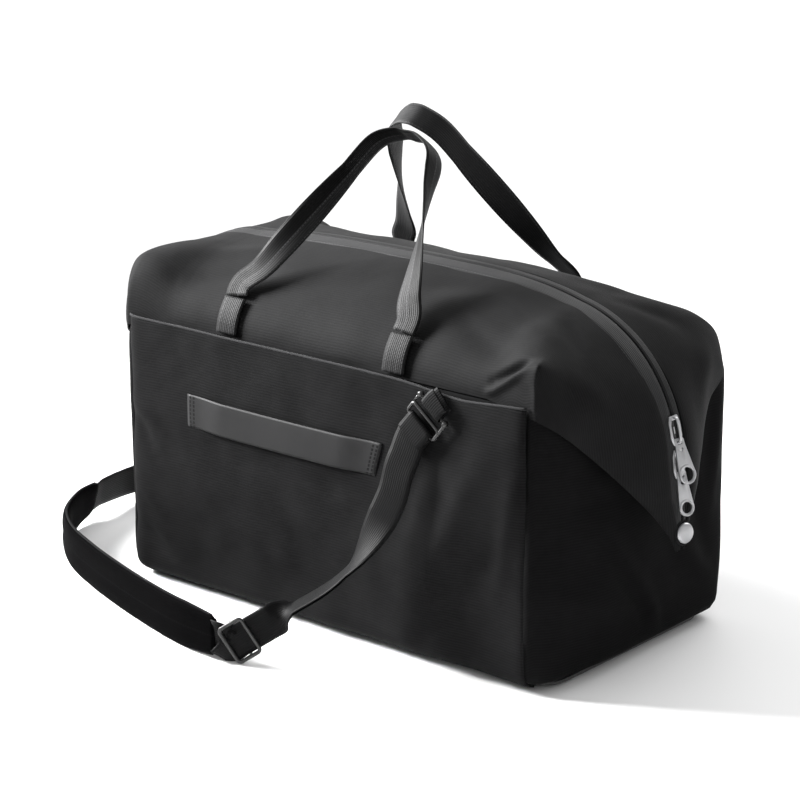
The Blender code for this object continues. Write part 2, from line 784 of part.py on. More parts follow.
def build_tri_glide():
    """The adjuster: a flat frame of three bars round the strap, lying along it."""
    place = frame_at(GLIDE_CENTRE, GLIDE_ALONG, GLIDE_ACROSS)
    room = STRAP_WIDTH / 2 + 0.0010
    half_y = room + 0.0026
    depth = STRAP_THICK + 0.0010
    blocks = (
        ((-0.011, -half_y, depth), (-0.006, half_y, depth + 0.0022)),
        ((0.006, -half_y, depth), (0.011, half_y, depth + 0.0022)),
        ((-0.011, -half_y, -depth - 0.0018), (0.011, -room, depth + 0.0022)),
        ((-0.011, room, -depth - 0.0018), (0.011, half_y, depth + 0.0022)),
        ((-0.0025, -half_y, -depth - 0.0018), (0.0025, half_y, -depth)),
    )
    join_blocks("tri_glide", blocks, "black_metal", place)


PAD_WIDTH, PAD_THICK = 0.044, 0.010


def build_pad():
    """The shoulder pad, standing on its long edge and curving round the corner of the bag."""
    key = [
        Vector((-0.0250, -0.2515, 0.0240)),
        Vector((-0.0800, -0.2440, 0.0234)),
        Vector((-0.1350, -0.2300, 0.0232)),
        Vector((-0.1900, -0.2130, 0.0232)),
        Vector((-0.2450, -0.1930, 0.0232)),
        Vector((-0.3000, -0.1680, 0.0232)),
        Vector((-0.3450, -0.1330, 0.0235)),
        Vector((-0.3750, -0.0900, 0.0240)),
        Vector((-0.3870, -0.0550, 0.0255)),
    ]
    count = 29
    path = smooth_path(key, count)
    bm = bmesh.new()
    rings = []
    for i, p in enumerate(path):
        before = path[max(i - 1, 0)]
        after = path[min(i + 1, count - 1)]
        along = (after - before).normalized()
        tilt = max(i / (count - 1) - 0.75, 0) / 0.25
        up = Vector((0.30 * tilt, 0.0, 1.0))
        up = (up - along * up.dot(along)).normalized()
        out = along.cross(up)
        share = min(i, count - 1 - i) / 3
        half_w = PAD_WIDTH / 2 * (0.78 + 0.22 * min(share, 1))
        half_t = PAD_THICK / 2 * (0.7 + 0.3 * min(share, 1))
        ring = []
        for a, b in ((1, 0.45), (0.86, 1), (-0.86, 1), (-1, 0.45), (-1, -0.45), (-0.86, -1), (0.86, -1), (1, -0.45)):
            ring.append(bm.verts.new(p + up * (a * half_w) + out * (b * half_t)))
        rings.append(ring)
    for a, b in zip(rings, rings[1:]):
        for i in range(8):
            j = (i + 1) % 8
            bm.faces.new((a[i], a[j], b[j], b[i]))
    bm.faces.new(rings[0])
    bm.faces.new(rings[-1])
    add_object("shoulder_pad", bm, "pad")
    return path


def build_rear_webbing(pad_path):
    end = pad_path[-1]
    along = (pad_path[-1] - pad_path[-2]).normalized()
    place = hook_place(-1)
    hook_end = place @ Vector((0, BAR + SLOT_HEIGHT + HOOK_PLATE / 2 + 0.0014, 0))
    key = [
        end + along * (GAP + 0.0002),
        end + along * 0.020,
        Vector((-0.4010, 0.0150, 0.0240)),
        Vector((-0.3850, 0.0700, 0.0280)),
        Vector((-0.3400, 0.1250, 0.0400)),
        Vector((-0.2850, 0.1680, 0.0750)),
        Vector((-0.2150, 0.1790, 0.1250)),
        hook_end + Vector((-0.028, 0.0130, -0.034)),
        hook_end + Vector((-0.012, 0.0040, -0.0147)),
        hook_end,
    ]
    count = 49
    path = smooth_path(key, count)
    bar = place.to_3x3() @ Vector((1, 0, 0))
    lean = Vector((0.25, 0, 1)).normalized()
    keys = ((0.0, lean), (0.25, Vector((0, 0, 1))), (0.45, Vector((0.1, 0.0, 1))), (0.8, -bar), (1.0, -bar))
    ribbon("strap_rear", path, blended_sides(keys, count), STRAP_WIDTH, STRAP_THICK, "webbing")


def build_all():
    clear_scene()
    build_base()
    build_walls()
    build_lining()
    build_pocket()
    build_luggage_band()
    build_roof("roof_front", FRONT_HINGE_Y)
    build_roof("roof_back", BACK_HINGE_Y)
    for label, end, arc in (("right", 1, RIGHT_ARC), ("left", -1, LEFT_ARC)):
        build_wing(f"wing_{label}_front", end, FRONT_HINGE_Y, arc)
        build_wing(f"wing_{label}_back", end, BACK_HINGE_Y, arc)
        build_snap(label, end, arc)
        build_hook(label, end)
        build_tab(label, end)
    build_zip()
    build_slider("zip_slider_upper", UPPER_SLIDER_Z)
    build_slider("zip_slider_lower", LOWER_SLIDER_Z)
    build_pull("zip_pull_upper", UPPER_SLIDER_Z, 5.5)
    build_pull("zip_pull_lower", LOWER_SLIDER_Z, 7.0)
    build_handles()
    build_strap()


build_all()
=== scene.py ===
"""Weekender bag: the looks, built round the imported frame. Metres, +Z up, the slip pocket faces -Y."""

import math

import bmesh
import bpy
import numpy as np
from mathutils import Matrix, Vector, noise


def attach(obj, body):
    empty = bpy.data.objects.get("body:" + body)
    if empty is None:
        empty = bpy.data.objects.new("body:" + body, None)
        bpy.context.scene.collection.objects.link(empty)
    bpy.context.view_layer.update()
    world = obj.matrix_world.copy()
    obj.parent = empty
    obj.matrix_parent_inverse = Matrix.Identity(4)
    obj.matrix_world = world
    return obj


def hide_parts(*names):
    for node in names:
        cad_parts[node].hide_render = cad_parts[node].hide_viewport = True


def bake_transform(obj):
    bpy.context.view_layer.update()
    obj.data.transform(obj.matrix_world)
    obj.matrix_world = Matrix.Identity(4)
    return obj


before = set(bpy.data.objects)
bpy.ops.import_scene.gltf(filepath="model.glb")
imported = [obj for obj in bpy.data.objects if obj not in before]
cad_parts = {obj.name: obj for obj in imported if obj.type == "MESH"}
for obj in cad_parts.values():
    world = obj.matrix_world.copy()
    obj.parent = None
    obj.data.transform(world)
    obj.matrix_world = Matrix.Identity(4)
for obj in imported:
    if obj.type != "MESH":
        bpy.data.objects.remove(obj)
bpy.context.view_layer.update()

HALF_LENGTH, HALF_DEPTH = 0.2585, 0.139
FRONT_HINGE_Y, BACK_HINGE_Y, HINGE_Z = -0.1335, 0.139, 0.2655
RIDGE_Z, ROOF_END = 0.3345, 0.190
ARCS = {1: (0.163, 0.190, 0.133), -1: (0.200, 0.224, 0.102)}
TIP = (0.3055, 0.116)
LABEL = {1: "right", -1: "left"}
SIDE = {-1: "front", 1: "back"}


# Camera, light and floor


def place_camera():
    az, el, away = math.radians(40.125), math.radians(16.8), 2.6
    back = Vector((math.sin(az) * math.cos(el), -math.cos(az) * math.cos(el), math.sin(el)))
    data = bpy.data.cameras.new("camera")
    data.lens, data.sensor_width = 123.28, 36
    camera = bpy.data.objects.new("camera", data)
    camera.location = Vector((-0.020, 0, 0.189)) + back * away
    camera.rotation_euler = back.to_track_quat("Z", "Y").to_euler()
    bpy.context.scene.collection.objects.link(camera)
    bpy.context.scene.camera = camera


def area_light(name, where, at, size, power, spread=180):
    data = bpy.data.lights.new(name, "AREA")
    data.size, data.energy, data.spread = size, power, math.radians(spread)
    light = bpy.data.objects.new(name, data)
    light.location = where
    light.rotation_euler = (Vector(where) - Vector(at)).to_track_quat("Z", "Y").to_euler()
    bpy.context.scene.collection.objects.link(light)


def light_scene():
    area_light("key", (-1.40, -0.58, 1.12), (-0.04, 0.02, 0.56), 0.9, 38, 60)
    area_light("back_light", (0.2, 1.9, 1.5), (0, 0, 0.30), 1.0, 24)
    area_light("floor_light", (-2.5, 4.5, 4.0), (-2.5, 4.5, 0), 3.0, 160)
    world = bpy.data.worlds.new("studio")
    world.use_nodes = True
    world.node_tree.nodes["Background"].inputs[0].default_value = (1, 1, 1, 1)
    world.node_tree.nodes["Background"].inputs[1].default_value = 0.70
    scene = bpy.context.scene
    scene.world = world
    scene.view_settings.view_transform = "Standard"
    scene.view_settings.look = "None"


def build_floor():
    mesh = bpy.data.meshes.new("floor")
    mesh.from_pydata([(-9, -9, 0), (9, -9, 0), (9, 9, 0), (-9, 9, 0)], [], [(0, 1, 2, 3)])
    floor = bpy.data.objects.new("floor", mesh)
    bpy.context.scene.collection.objects.link(floor)
    s = Shader("floor_white")
    s.set(color=(0.9, 0.9, 0.9), rough=0.9, spec=0.1)
    grain = s.noise(30, 3)
    s.link(s.mix((0.88, 0.88, 0.88), (0.91, 0.91, 0.91), grain), "Base Color")
    mesh.materials.append(s.material)


# Materials


class Shader:
    """A Principled material and short names for the nodes that feed it."""

    def __init__(self, name):
        self.material = bpy.data.materials.new(name)
        self.material.use_nodes = True
        self.nodes = self.material.node_tree.nodes
        self.links = self.material.node_tree.links
        self.bsdf = self.nodes["Principled BSDF"]
        self.uv = self.nodes.new("ShaderNodeUVMap").outputs[0]
        self.height = None

    def set(self, color=None, rough=None, metal=0.0, spec=0.5, sheen=0.0, sheen_rough=0.5, coat=0.0):
        i = self.bsdf.inputs
        if color:
            i["Base Color"].default_value = (*color, 1)
        if rough is not None:
            i["Roughness"].default_value = rough
        i["Metallic"].default_value = metal
        i["Specular IOR Level"].default_value = spec
        i["Sheen Weight"].default_value = sheen
        i["Sheen Roughness"].default_value = sheen_rough
        i["Coat Weight"].default_value = coat
        i["Coat Roughness"].default_value = 0.15

    def put(self, socket, value):
        if isinstance(value, (int, float)):
            socket.default_value = value
        elif isinstance(value, tuple):
            wants_alpha = len(value) == 3 and len(socket.default_value) == 4
            socket.default_value = (*value, 1) if wants_alpha else value
        else:
            self.links.new(value, socket)

    def math(self, op, a, b=0.0, c=0.0):
        n = self.nodes.new("ShaderNodeMath")
        n.operation = op
        for socket, value in zip(n.inputs, (a, b, c)):
            self.put(socket, value)
        return n.outputs[0]

    def split(self):
        n = self.nodes.new("ShaderNodeSeparateXYZ")
        self.links.new(self.uv, n.inputs[0])
        return n.outputs[0], n.outputs[1]

    def noise(self, scale, detail=2.0, stretch=(1, 1, 1), rough=0.5):
        place = self.nodes.new("ShaderNodeMapping")
        place.inputs["Scale"].default_value = stretch
        self.links.new(self.uv, place.inputs[0])
        n = self.nodes.new("ShaderNodeTexNoise")
        n.inputs["Scale"].default_value = scale
        n.inputs["Detail"].default_value = detail
        n.inputs["Roughness"].default_value = rough
        self.links.new(place.outputs[0], n.inputs["Vector"])
        return n.outputs[0]

    def bands(self, pitch, direction, distortion=0.0):
        n = self.nodes.new("ShaderNodeTexWave")
        n.bands_direction = direction
        n.inputs["Scale"].default_value = 2 * math.pi / (20 * pitch)
        n.inputs["Distortion"].default_value = distortion
        n.inputs["Detail"].default_value = 2.0
        n.inputs["Detail Scale"].default_value = 2.0
        self.links.new(self.uv, n.inputs["Vector"])
        return n.outputs["Fac"]

    def mix(self, a, b, share):
        n = self.nodes.new("ShaderNodeMix")
        n.data_type = "RGBA"
        self.put(n.inputs[0], share)
        self.put(n.inputs[6], a)
        self.put(n.inputs[7], b)
        return n.outputs[2]

    def stitches(self, across, along, centre, half=0.00045, pitch=0.0034):
        """A dashed thread line at one value of across."""
        line = self.math("COMPARE", across, centre, half)
        phase = self.math("FRACT", self.math("DIVIDE", along, pitch))
        return self.math("MULTIPLY", line, self.math("LESS_THAN", phase, 0.66))

    def threads(self, lines):
        """Every thread line in one mask, each given as the arguments of stitches."""
        mask = None
        for line in lines:
            one = self.stitches(*line)
            mask = one if mask is None else self.math("MAXIMUM", mask, one)
        return mask

    def link(self, value, name):
        self.links.new(value, self.bsdf.inputs[name])

    def bump(self, height, distance, strength=1.0):
        n = self.nodes.new("ShaderNodeBump")
        n.inputs["Distance"].default_value = distance
        n.inputs["Strength"].default_value = strength
        self.links.new(height, n.inputs["Height"])
        if self.height is not None:
            self.links.new(self.height, n.inputs["Normal"])
        self.height = n.outputs[0]
        self.link(self.height, "Normal")


def cloth_shader(name, dark, light, rib=0.35, seams=(), gloss=1.0):
    """Close woven nylon: a fine weave, faint cross ribs, soft mottling, and thread lines where asked."""
    s = Shader(name)
    s.set(rough=0.78, spec=0.03 * gloss, sheen=0.014 * gloss, sheen_rough=0.40)
    across, along = s.split()
    weft = s.bands(0.0011, "X", 0.3)
    warp = s.bands(0.0011, "Y", 0.3)
    weave = s.math("MAXIMUM", weft, warp)
    ribs = s.bands(0.0026, "Y", 1.2)
    mottle = s.noise(22, 5, rough=0.6)
    slub = s.noise(60, 3, (1, 9, 1))
    share = s.math("MULTIPLY_ADD", ribs, rib, s.math("MULTIPLY", mottle, 0.55))
    share = s.math("MULTIPLY_ADD", slub, 0.25, share)
    color = s.mix(dark, light, s.math("SUBTRACT", share, 0.15))
    thread = s.threads([(along, across, place) for place in seams])
    if thread is not None:
        color = s.mix(color, tuple(2.6 * c for c in light), s.math("MULTIPLY", thread, 0.6))
    s.link(color, "Base Color")
    s.link(s.math("MULTIPLY_ADD", mottle, 0.2, 0.62), "Roughness")
    s.bump(s.math("MULTIPLY_ADD", ribs, 0.5, weave), 0.00020, 0.4)
    s.bump(s.noise(9, 5, rough=0.6), 0.0030, 0.45)
    if thread is not None:
        s.bump(thread, 0.0005, 0.8)
    return s.material


def webbing_shader(name, dark, light, lines=(), shade_below=None, sheen=0.25):
    """Ribbed webbing: fine ribs along it, a cross weave, thread lines, and a darker zone on one side of its
    width, painted shade for the side of a folded strap turned from the light.
    """
    s = Shader(name)
    s.set(rough=0.5, spec=0.07, sheen=sheen * 0.06, sheen_rough=0.35)
    along, across = s.split()
    ribs = s.bands(0.0021, "Y", 0.2)
    cross = s.bands(0.0012, "X", 0.6)
    mottle = s.noise(35, 4)
    share = s.math("MULTIPLY_ADD", ribs, 0.4, s.math("MULTIPLY", mottle, 0.6))
    color = s.mix(dark, light, share)
    thread = s.threads([(across, along, place) for place in lines])
    if thread is not None:
        color = s.mix(color, tuple(2.2 * c for c in light), s.math("MULTIPLY", thread, 0.7))
    # Painted shade: the part of the width below the given place is darkened, standing in for the side turned
    # away from the light.
    if shade_below is not None:
        painted_shade_zone = s.math("LESS_THAN", across, shade_below)
        color = s.mix(color, tuple(0.3 * c for c in dark), s.math("MULTIPLY", painted_shade_zone, 0.85))
    s.link(color, "Base Color")
    s.link(s.math("MULTIPLY_ADD", mottle, 0.25, 0.40), "Roughness")
    s.bump(s.math("MULTIPLY_ADD", cross, 0.5, ribs), 0.00025, 0.6)
    if thread is not None:
        s.bump(thread, 0.0004, 0.8)
    return s.material


def band_shader(length):
    """Smooth coated leather with a fine grain, and two thread lines at each end."""
    s = Shader("band_leather")
    s.set(rough=0.52, spec=0.08, sheen=0.01)
    along, across = s.split()
    grain = s.noise(420, 3)
    mottle = s.noise(14, 4)
    color = s.mix((0.010, 0.010, 0.0103), (0.022, 0.022, 0.0225), mottle)
    places = (0.0036, 0.0082, length - 0.0082, length - 0.0036)
    thread = s.threads([(along, across, place, 0.0011, 0.0040) for place in places])
    color = s.mix(color, (0.0006, 0.0006, 0.0006), s.math("MULTIPLY", thread, 0.95))
    s.link(color, "Base Color")
    s.link(s.math("MULTIPLY_ADD", mottle, 0.16, 0.44), "Roughness")
    s.bump(grain, 0.00012, 0.5)
    s.bump(thread, 0.0010, -1.0)
    return s.material


def metal_shader(name, color, rough, metal=1.0, coat=0.0):
    """Cast or moulded hardware: fine satin grain with patchy polish and worn marks."""
    s = Shader(name)
    s.set(rough=rough, metal=metal, spec=0.5, coat=coat)
    coord = s.nodes.new("ShaderNodeTexCoord")
    s.uv = coord.outputs["Object"]
    grain = s.noise(900, 2)
    wear = s.noise(90, 5, rough=0.7)
    s.link(s.mix(tuple(0.82 * c for c in color), tuple(min(1.12 * c, 1) for c in color), wear), "Base Color")
    s.link(s.math("MULTIPLY_ADD", wear, 0.22, rough - 0.10), "Roughness")
    s.bump(grain, 0.00006, 0.35)
    return s.material


# Mesh helpers


SECTION_STEPS = 9


def unit(v):
    return v / np.maximum(np.linalg.norm(v, axis=-1, keepdims=True), 1e-12)


def grid_normals(points):
    return unit(np.cross(np.gradient(points, axis=0), np.gradient(points, axis=1)))


def make_object(name, verts, faces, uvs, material, smooth=True):
    mesh = bpy.data.meshes.new(name)
    mesh.from_pydata([tuple(v) for v in np.asarray(verts, float)], [], faces)
    layer = mesh.uv_layers.new(name="UVMap")
    flat = np.asarray(uvs, float)
    index = np.empty(len(mesh.loops), np.int32)
    mesh.loops.foreach_get("vertex_index", index)
    layer.data.foreach_set("uv", flat[index].ravel())
    mesh.materials.append(material)
    if smooth:
        mesh.shade_smooth()
    obj = bpy.data.objects.new(name, mesh)
    bpy.context.scene.collection.objects.link(obj)
    return obj


def sheet(name, points, material, thickness, uv=None, loop=False, outward=None, normals=None):
    """A closed sheet from a grid of outer points, thickened inward. loop joins its last row to the first."""
    points = np.asarray(points, float)
    n, m = points.shape[:2]
    given = normals
    normals = grid_normals(points)
    if loop:
        wrapped = np.concatenate([points[-2:-1], points, points[1:2]])
        normals = grid_normals(wrapped)[1:-1]
    flip = outward is not None and (normals * outward(points)).sum() < 0
    if given is not None:
        normals = given
    elif flip:
        normals = -normals
    if uv is None:
        uv = grid_uv(points)
    outer = points.reshape(-1, 3)
    inner = (points - normals * thickness).reshape(-1, 3)
    verts = np.concatenate([outer, inner])
    uvs = np.concatenate([uv.reshape(-1, 2)] * 2)
    size = n * m
    faces = []
    for i in range(n - 1):
        for j in range(m - 1):
            a, b, c, d = i * m + j, (i + 1) * m + j, (i + 1) * m + j + 1, i * m + j + 1
            quad = (a, d, c, b) if flip else (a, b, c, d)
            faces.append(quad)
            faces.append(tuple(size + k for k in reversed(quad)))
    edge = [(i * m, (i + 1) * m) for i in range(n - 1)]
    edge += [((i + 1) * m + m - 1, i * m + m - 1) for i in range(n - 1)]
    if not loop:
        edge += [(j + 1, j) for j in range(m - 1)]
        edge += [((n - 1) * m + j, (n - 1) * m + j + 1) for j in range(m - 1)]
    for a, b in edge:
        quad = (b, a, size + a, size + b)
        faces.append(quad[::-1] if flip else quad)
    obj = make_object(name, verts, faces, uvs, material)
    if given is not None:
        both = np.concatenate([normals.reshape(-1, 3), -normals.reshape(-1, 3)])
        obj.data.normals_split_custom_set_from_vertices([tuple(v) for v in both])
    return obj


def grid_uv(points):
    """UVs in metres: the distance along the middle row, and the distance down each row."""
    along = np.linalg.norm(np.diff(points, axis=0), axis=-1)
    u = np.concatenate([[0], np.cumsum(along[:, points.shape[1] // 2])])
    down = np.linalg.norm(np.diff(points, axis=1), axis=-1)
    v = np.concatenate([np.zeros((len(points), 1)), np.cumsum(down, axis=1)], axis=1)
    return np.stack([np.repeat(u[:, None], points.shape[1], 1), v], -1)


def distance_along(points):
    """The distance from the first point to each point of a polyline."""
    return np.concatenate([[0], np.cumsum(np.linalg.norm(np.diff(points, axis=0), axis=-1))])


def resample(points, count):
    """Even steps along a polyline."""
    points = np.asarray(points, float)
    place = distance_along(points)
    want = np.linspace(0, place[-1], count)
    return np.stack([np.interp(want, place, points[:, k]) for k in range(points.shape[1])], -1)


def smooth_path(keys, count):
    """A Catmull-Rom curve through the keys, in even steps."""
    keys = np.asarray(keys, float)
    dense = []
    for i in range(len(keys) - 1):
        p0, p1, p2, p3 = keys[max(i - 1, 0)], keys[i], keys[i + 1], keys[min(i + 2, len(keys) - 1)]
        square = 2 * p0 - 5 * p1 + 4 * p2 - p3
        cube = 3 * p1 - p0 - 3 * p2 + p3
        for t in np.linspace(0, 1, 20, endpoint=False):
            dense.append(0.5 * (2 * p1 + (p2 - p0) * t + square * t**2 + cube * t**3))
    dense.append(keys[-1])
    return resample(dense, count)


def turned(keys, count):
    """Directions that turn evenly between keys, each a share of the length and a direction."""
    shares = [k[0] for k in keys]
    vectors = np.array([k[1] for k in keys], float)
    want = np.linspace(0, 1, count)
    return unit(np.stack([np.interp(want, shares, vectors[:, k]) for k in range(3)], -1))


def ring_faces(rows, steps, loop=False):
    """Faces between rings of steps points: joined end to end with loop, and otherwise closed by two caps."""
    faces = []
    for i in range(rows if loop else rows - 1):
        low, high = i * steps, ((i + 1) % rows) * steps
        for k in range(steps):
            j = (k + 1) % steps
            faces.append((low + k, low + j, high + j, high + k))
    if not loop:
        faces.append(tuple(range(steps))[::-1])
        faces.append(tuple((rows - 1) * steps + k for k in range(steps)))
    return faces


def section_ring(width, thickness, crown=0.0, steps=SECTION_STEPS):
    """A strap's rounded section as (across, out, v) points."""
    ring = []
    for i in range(steps):
        a = width * (i / (steps - 1) - 0.5)
        edge = 1 - abs(2 * i / (steps - 1) - 1) ** 6
        ring.append((a, thickness / 2 * (0.35 + 0.65 * edge) + crown * (1 - (2 * a / width) ** 2), a))
    back = [(a, -o + 2 * crown * (1 - (2 * a / width) ** 2), v) for a, o, v in reversed(ring)]
    return ring + back


def ribbon(name, path, sides, width, thickness, material, crown=0.0):
    """A strap along path, with its width along sides; u runs along it and v across it, in metres."""
    path = np.asarray(path, float)
    along = unit(np.gradient(path, axis=0))
    sides = np.asarray(sides, float)
    sides = unit(sides - along * (sides * along).sum(-1, keepdims=True))
    out = np.cross(along, sides)
    length = distance_along(path)
    widths = np.broadcast_to(np.asarray(width, float), (len(path),))
    verts, uvs = [], []
    ring_size = 2 * SECTION_STEPS
    for i, p in enumerate(path):
        for a, o, v in section_ring(widths[i], thickness, crown):
            verts.append(p + sides[i] * a + out[i] * o)
            uvs.append((length[i], v))
    return make_object(name, verts, ring_faces(len(path), ring_size), uvs, material)


def tube(name, path, radius, material, loop=False, steps=10, flat=1.0):
    """A round bar along path. flat squeezes it along its own second axis."""
    path = np.asarray(path, float)
    if loop:
        wrapped = np.concatenate([path[-1:], path, path[:1]])
        along = unit(np.gradient(wrapped, axis=0))[1:-1]
    else:
        along = unit(np.gradient(path, axis=0))
    side = np.cross(along[0], (0.31, 0.17, 0.93))
    verts, uvs = [], []
    run = 0.0
    for i, p in enumerate(path):
        side = unit(side - along[i] * (side @ along[i]))
        up = np.cross(along[i], side)
        run += np.linalg.norm(p - path[i - 1]) if i else 0
        for k in range(steps):
            a = 2 * math.pi * k / steps
            verts.append(p + side * (radius * math.cos(a)) + up * (radius * flat * math.sin(a)))
            uvs.append((run, radius * a))
    return make_object(name, verts, ring_faces(len(path), steps, loop), uvs, material)


def joined(name, objects):
    """One object from several, in their places."""
    bpy.ops.object.select_all(action="DESELECT")
    for obj in objects:
        obj.select_set(True)
    bpy.context.view_layer.objects.active = objects[0]
    bpy.ops.object.join()
    objects[0].name = name
    return objects[0]


def bevelled(obj, width, segments=2, place=None):
    """Rounded edges, applied, and the object's place written into its mesh."""
    mod = obj.modifiers.new("bevel", "BEVEL")
    mod.width, mod.segments, mod.limit_method = width, segments, "ANGLE"
    bpy.context.view_layer.objects.active = obj
    bpy.ops.object.select_all(action="DESELECT")
    obj.select_set(True)
    bpy.ops.object.modifier_apply(modifier="bevel")
    if place is not None:
        obj.data.transform(place)
    obj.data.shade_smooth()
    obj.data.set_sharp_from_angle(angle=math.radians(40))
    return obj


def flat_plate(name, outlines, thickness, material):
    """A flat plate with holes in its own XY plane, as a mesh."""
    curve = bpy.data.curves.new(name, "CURVE")
    curve.dimensions, curve.fill_mode, curve.extrude = "2D", "BOTH", thickness / 2
    for outline in outlines:
        spline = curve.splines.new("POLY")
        spline.points.add(len(outline) - 1)
        for point, (x, y) in zip(spline.points, outline):
            point.co = (x, y, 0, 1)
        spline.use_cyclic_u = True
    temp = bpy.data.objects.new(name, curve)
    bpy.context.scene.collection.objects.link(temp)
    bpy.context.view_layer.update()
    mesh = bpy.data.meshes.new_from_object(temp)
    bpy.data.objects.remove(temp)
    obj = bpy.data.objects.new(name, mesh)
    mesh.materials.clear()
    mesh.materials.append(material)
    bpy.context.scene.collection.objects.link(obj)
    clean(obj)
    return obj


def clean(obj):
    """Merge doubled points and turn every face outward."""
    bm = bmesh.new()
    bm.from_mesh(obj.data)
    bmesh.ops.remove_doubles(bm, verts=bm.verts, dist=1e-6)
    bmesh.ops.recalc_face_normals(bm, faces=bm.faces)
    bm.to_mesh(obj.data)
    bm.free()


def ring_points(x, y, rx, ry=None, steps=40, start=0.0):
    ry = rx if ry is None else ry
    angles = [start + 2 * math.pi * i / steps for i in range(steps)]
    return [(x + rx * math.cos(a), y + ry * math.sin(a)) for a in angles]


def frame_at(origin, x_axis, y_axis):
    x = Vector(x_axis).normalized()
    z = x.cross(Vector(y_axis)).normalized()
    y = z.cross(x)
    return Matrix.Translation(Vector(origin)) @ Matrix((x, y, z)).transposed().to_4x4()


# Soft folds


def near_segment(points, a, b):
    a, b = np.array(a, float), np.array(b, float)
    d = b - a
    t = np.clip(((points - a) @ d) / (d @ d), 0, 1)
    return np.linalg.norm(points - (a + t[..., None] * d), axis=-1), t


def fold(points, normals, creases):
    """Move points along their normals by soft ridges and grooves: (from, to, height, width)."""
    move = np.zeros(points.shape[:-1])
    for a, b, height, width in creases:
        distance, t = near_segment(points, a, b)
        strength = 0.35 + 0.65 * np.sin(math.pi * np.clip(t, 0.02, 0.98))
        move += height * np.exp(-((distance / width) ** 2)) * strength
    return points + normals * move[..., None]


def undulate(points, normals, amount, size, seed):
    """Low waves of two sizes, in a pattern fixed by seed."""
    flat = points.reshape(-1, 3)
    shift = Vector((seed * 7.1, seed * 3.3, seed * 1.7))
    move = []
    for p in flat:
        fine = noise.noise(Vector(p) / (size * 0.45) - shift)
        move.append(noise.noise(Vector(p) / size + shift) + 0.5 * fine)
    move = np.array(move)
    return points + normals * (amount * move).reshape(points.shape[:-1])[..., None]


# How square the roof is over each corner of the walls, by end and side.
CORNER_SHARPNESS = {(1, -1): 1.0, (1, 1): 0.30, (-1, -1): 0.60, (-1, 1): 0.50}


# The zip's line


def ridge_z(x, end):
    if end > 0:
        return RIDGE_Z - 0.0145 * (x / ROOF_END) ** 4
    return RIDGE_Z - 0.0085 * (x / ROOF_END) ** 3


def zip_line(end, count=210):
    """The zip's centre line from the middle of the roof to the tip: (x, z) with x away from the middle."""
    cx, cz, r = ARCS[end]
    away_x, away_z = TIP[0] - cx, TIP[1] - cz
    last = math.atan2(away_z, away_x) + math.acos(r / math.hypot(away_x, away_z))
    first = math.acos((0.1965 - cx) / r)
    points = [(x, ridge_z(x, end)) for x in np.linspace(0, 0.186, 40)]
    points += [(cx + r * math.cos(a), cz + r * math.sin(a)) for a in np.linspace(first, last, 40)]
    points += [tuple((1 - t) * np.array(points[-1]) + t * np.array(TIP)) for t in (0.25, 0.5, 0.75, 1.0)]
    line = resample(points, count)
    along = unit(np.gradient(line, axis=0))
    out = np.stack([-along[:, 1], along[:, 0]], -1)
    return line, out


def zip_place(end, z, height=0.0):
    """A place on the zip at height z: X down along the zip, Y across it, Z outward."""
    cx, cz, r = ARCS[end]
    away_x, away_z = TIP[0] - cx, TIP[1] - cz
    last = math.atan2(away_z, away_x) + math.acos(r / math.hypot(away_x, away_z))
    a = max(math.asin((z - cz) / r), last)
    run = (cz + r * math.sin(last) - z) / math.cos(last) if a == last else 0.0
    down = Vector((end * math.sin(a), 0, -math.cos(a)))
    out = Vector((end * math.cos(a), 0, math.sin(a)))
    return frame_at(Vector((end * cx, 0, cz)) + out * (r + height) + down * run, down, out.cross(down))


def edge_line(end, side, line):
    """Where the roof and wing end, for each place on the zip: along the hinge line, then down the wing."""
    hinge = FRONT_HINGE_Y if side < 0 else BACK_HINGE_Y
    depth = abs(hinge)
    run = distance_along(line)
    straight = np.interp(ROOF_END, line[:, 0], run)
    reach = np.argmax(line[:, 0] > 0.24) + 1
    corner = np.interp(0.238, line[:reach, 0], run[:reach])
    down = [
        (0.2455, depth + 0.0035, 0.2530),
        (0.2602 if side < 0 else 0.2635, 0.1210, 0.2400),
        (0.2645, 0.0980, 0.2220),
        (0.2725, 0.0780, 0.2030),
        (0.2825, 0.0560, 0.1800),
        (0.2940, 0.0290, 0.1500),
        (0.3015, 0.0130, 0.1270),
        (0.3040, 0.0070, 0.1130),
    ]
    down = smooth_path(down, 60)
    share = np.linspace(0, 1, 60)
    edge = np.zeros((len(line), 3))
    for i, (x, _) in enumerate(line):
        s = run[i]
        if s <= straight:
            edge[i] = (x, depth, HINGE_Z - 0.004)
        elif s <= corner:
            t = (s - straight) / (corner - straight)
            edge[i] = np.array((ROOF_END, depth, HINGE_Z - 0.004)) * (1 - t) + down[0] * t
        else:
            t = (s - corner) / (run[-1] - corner)
            edge[i] = [np.interp(t, share, down[:, k]) for k in range(3)]
    return edge, run, corner


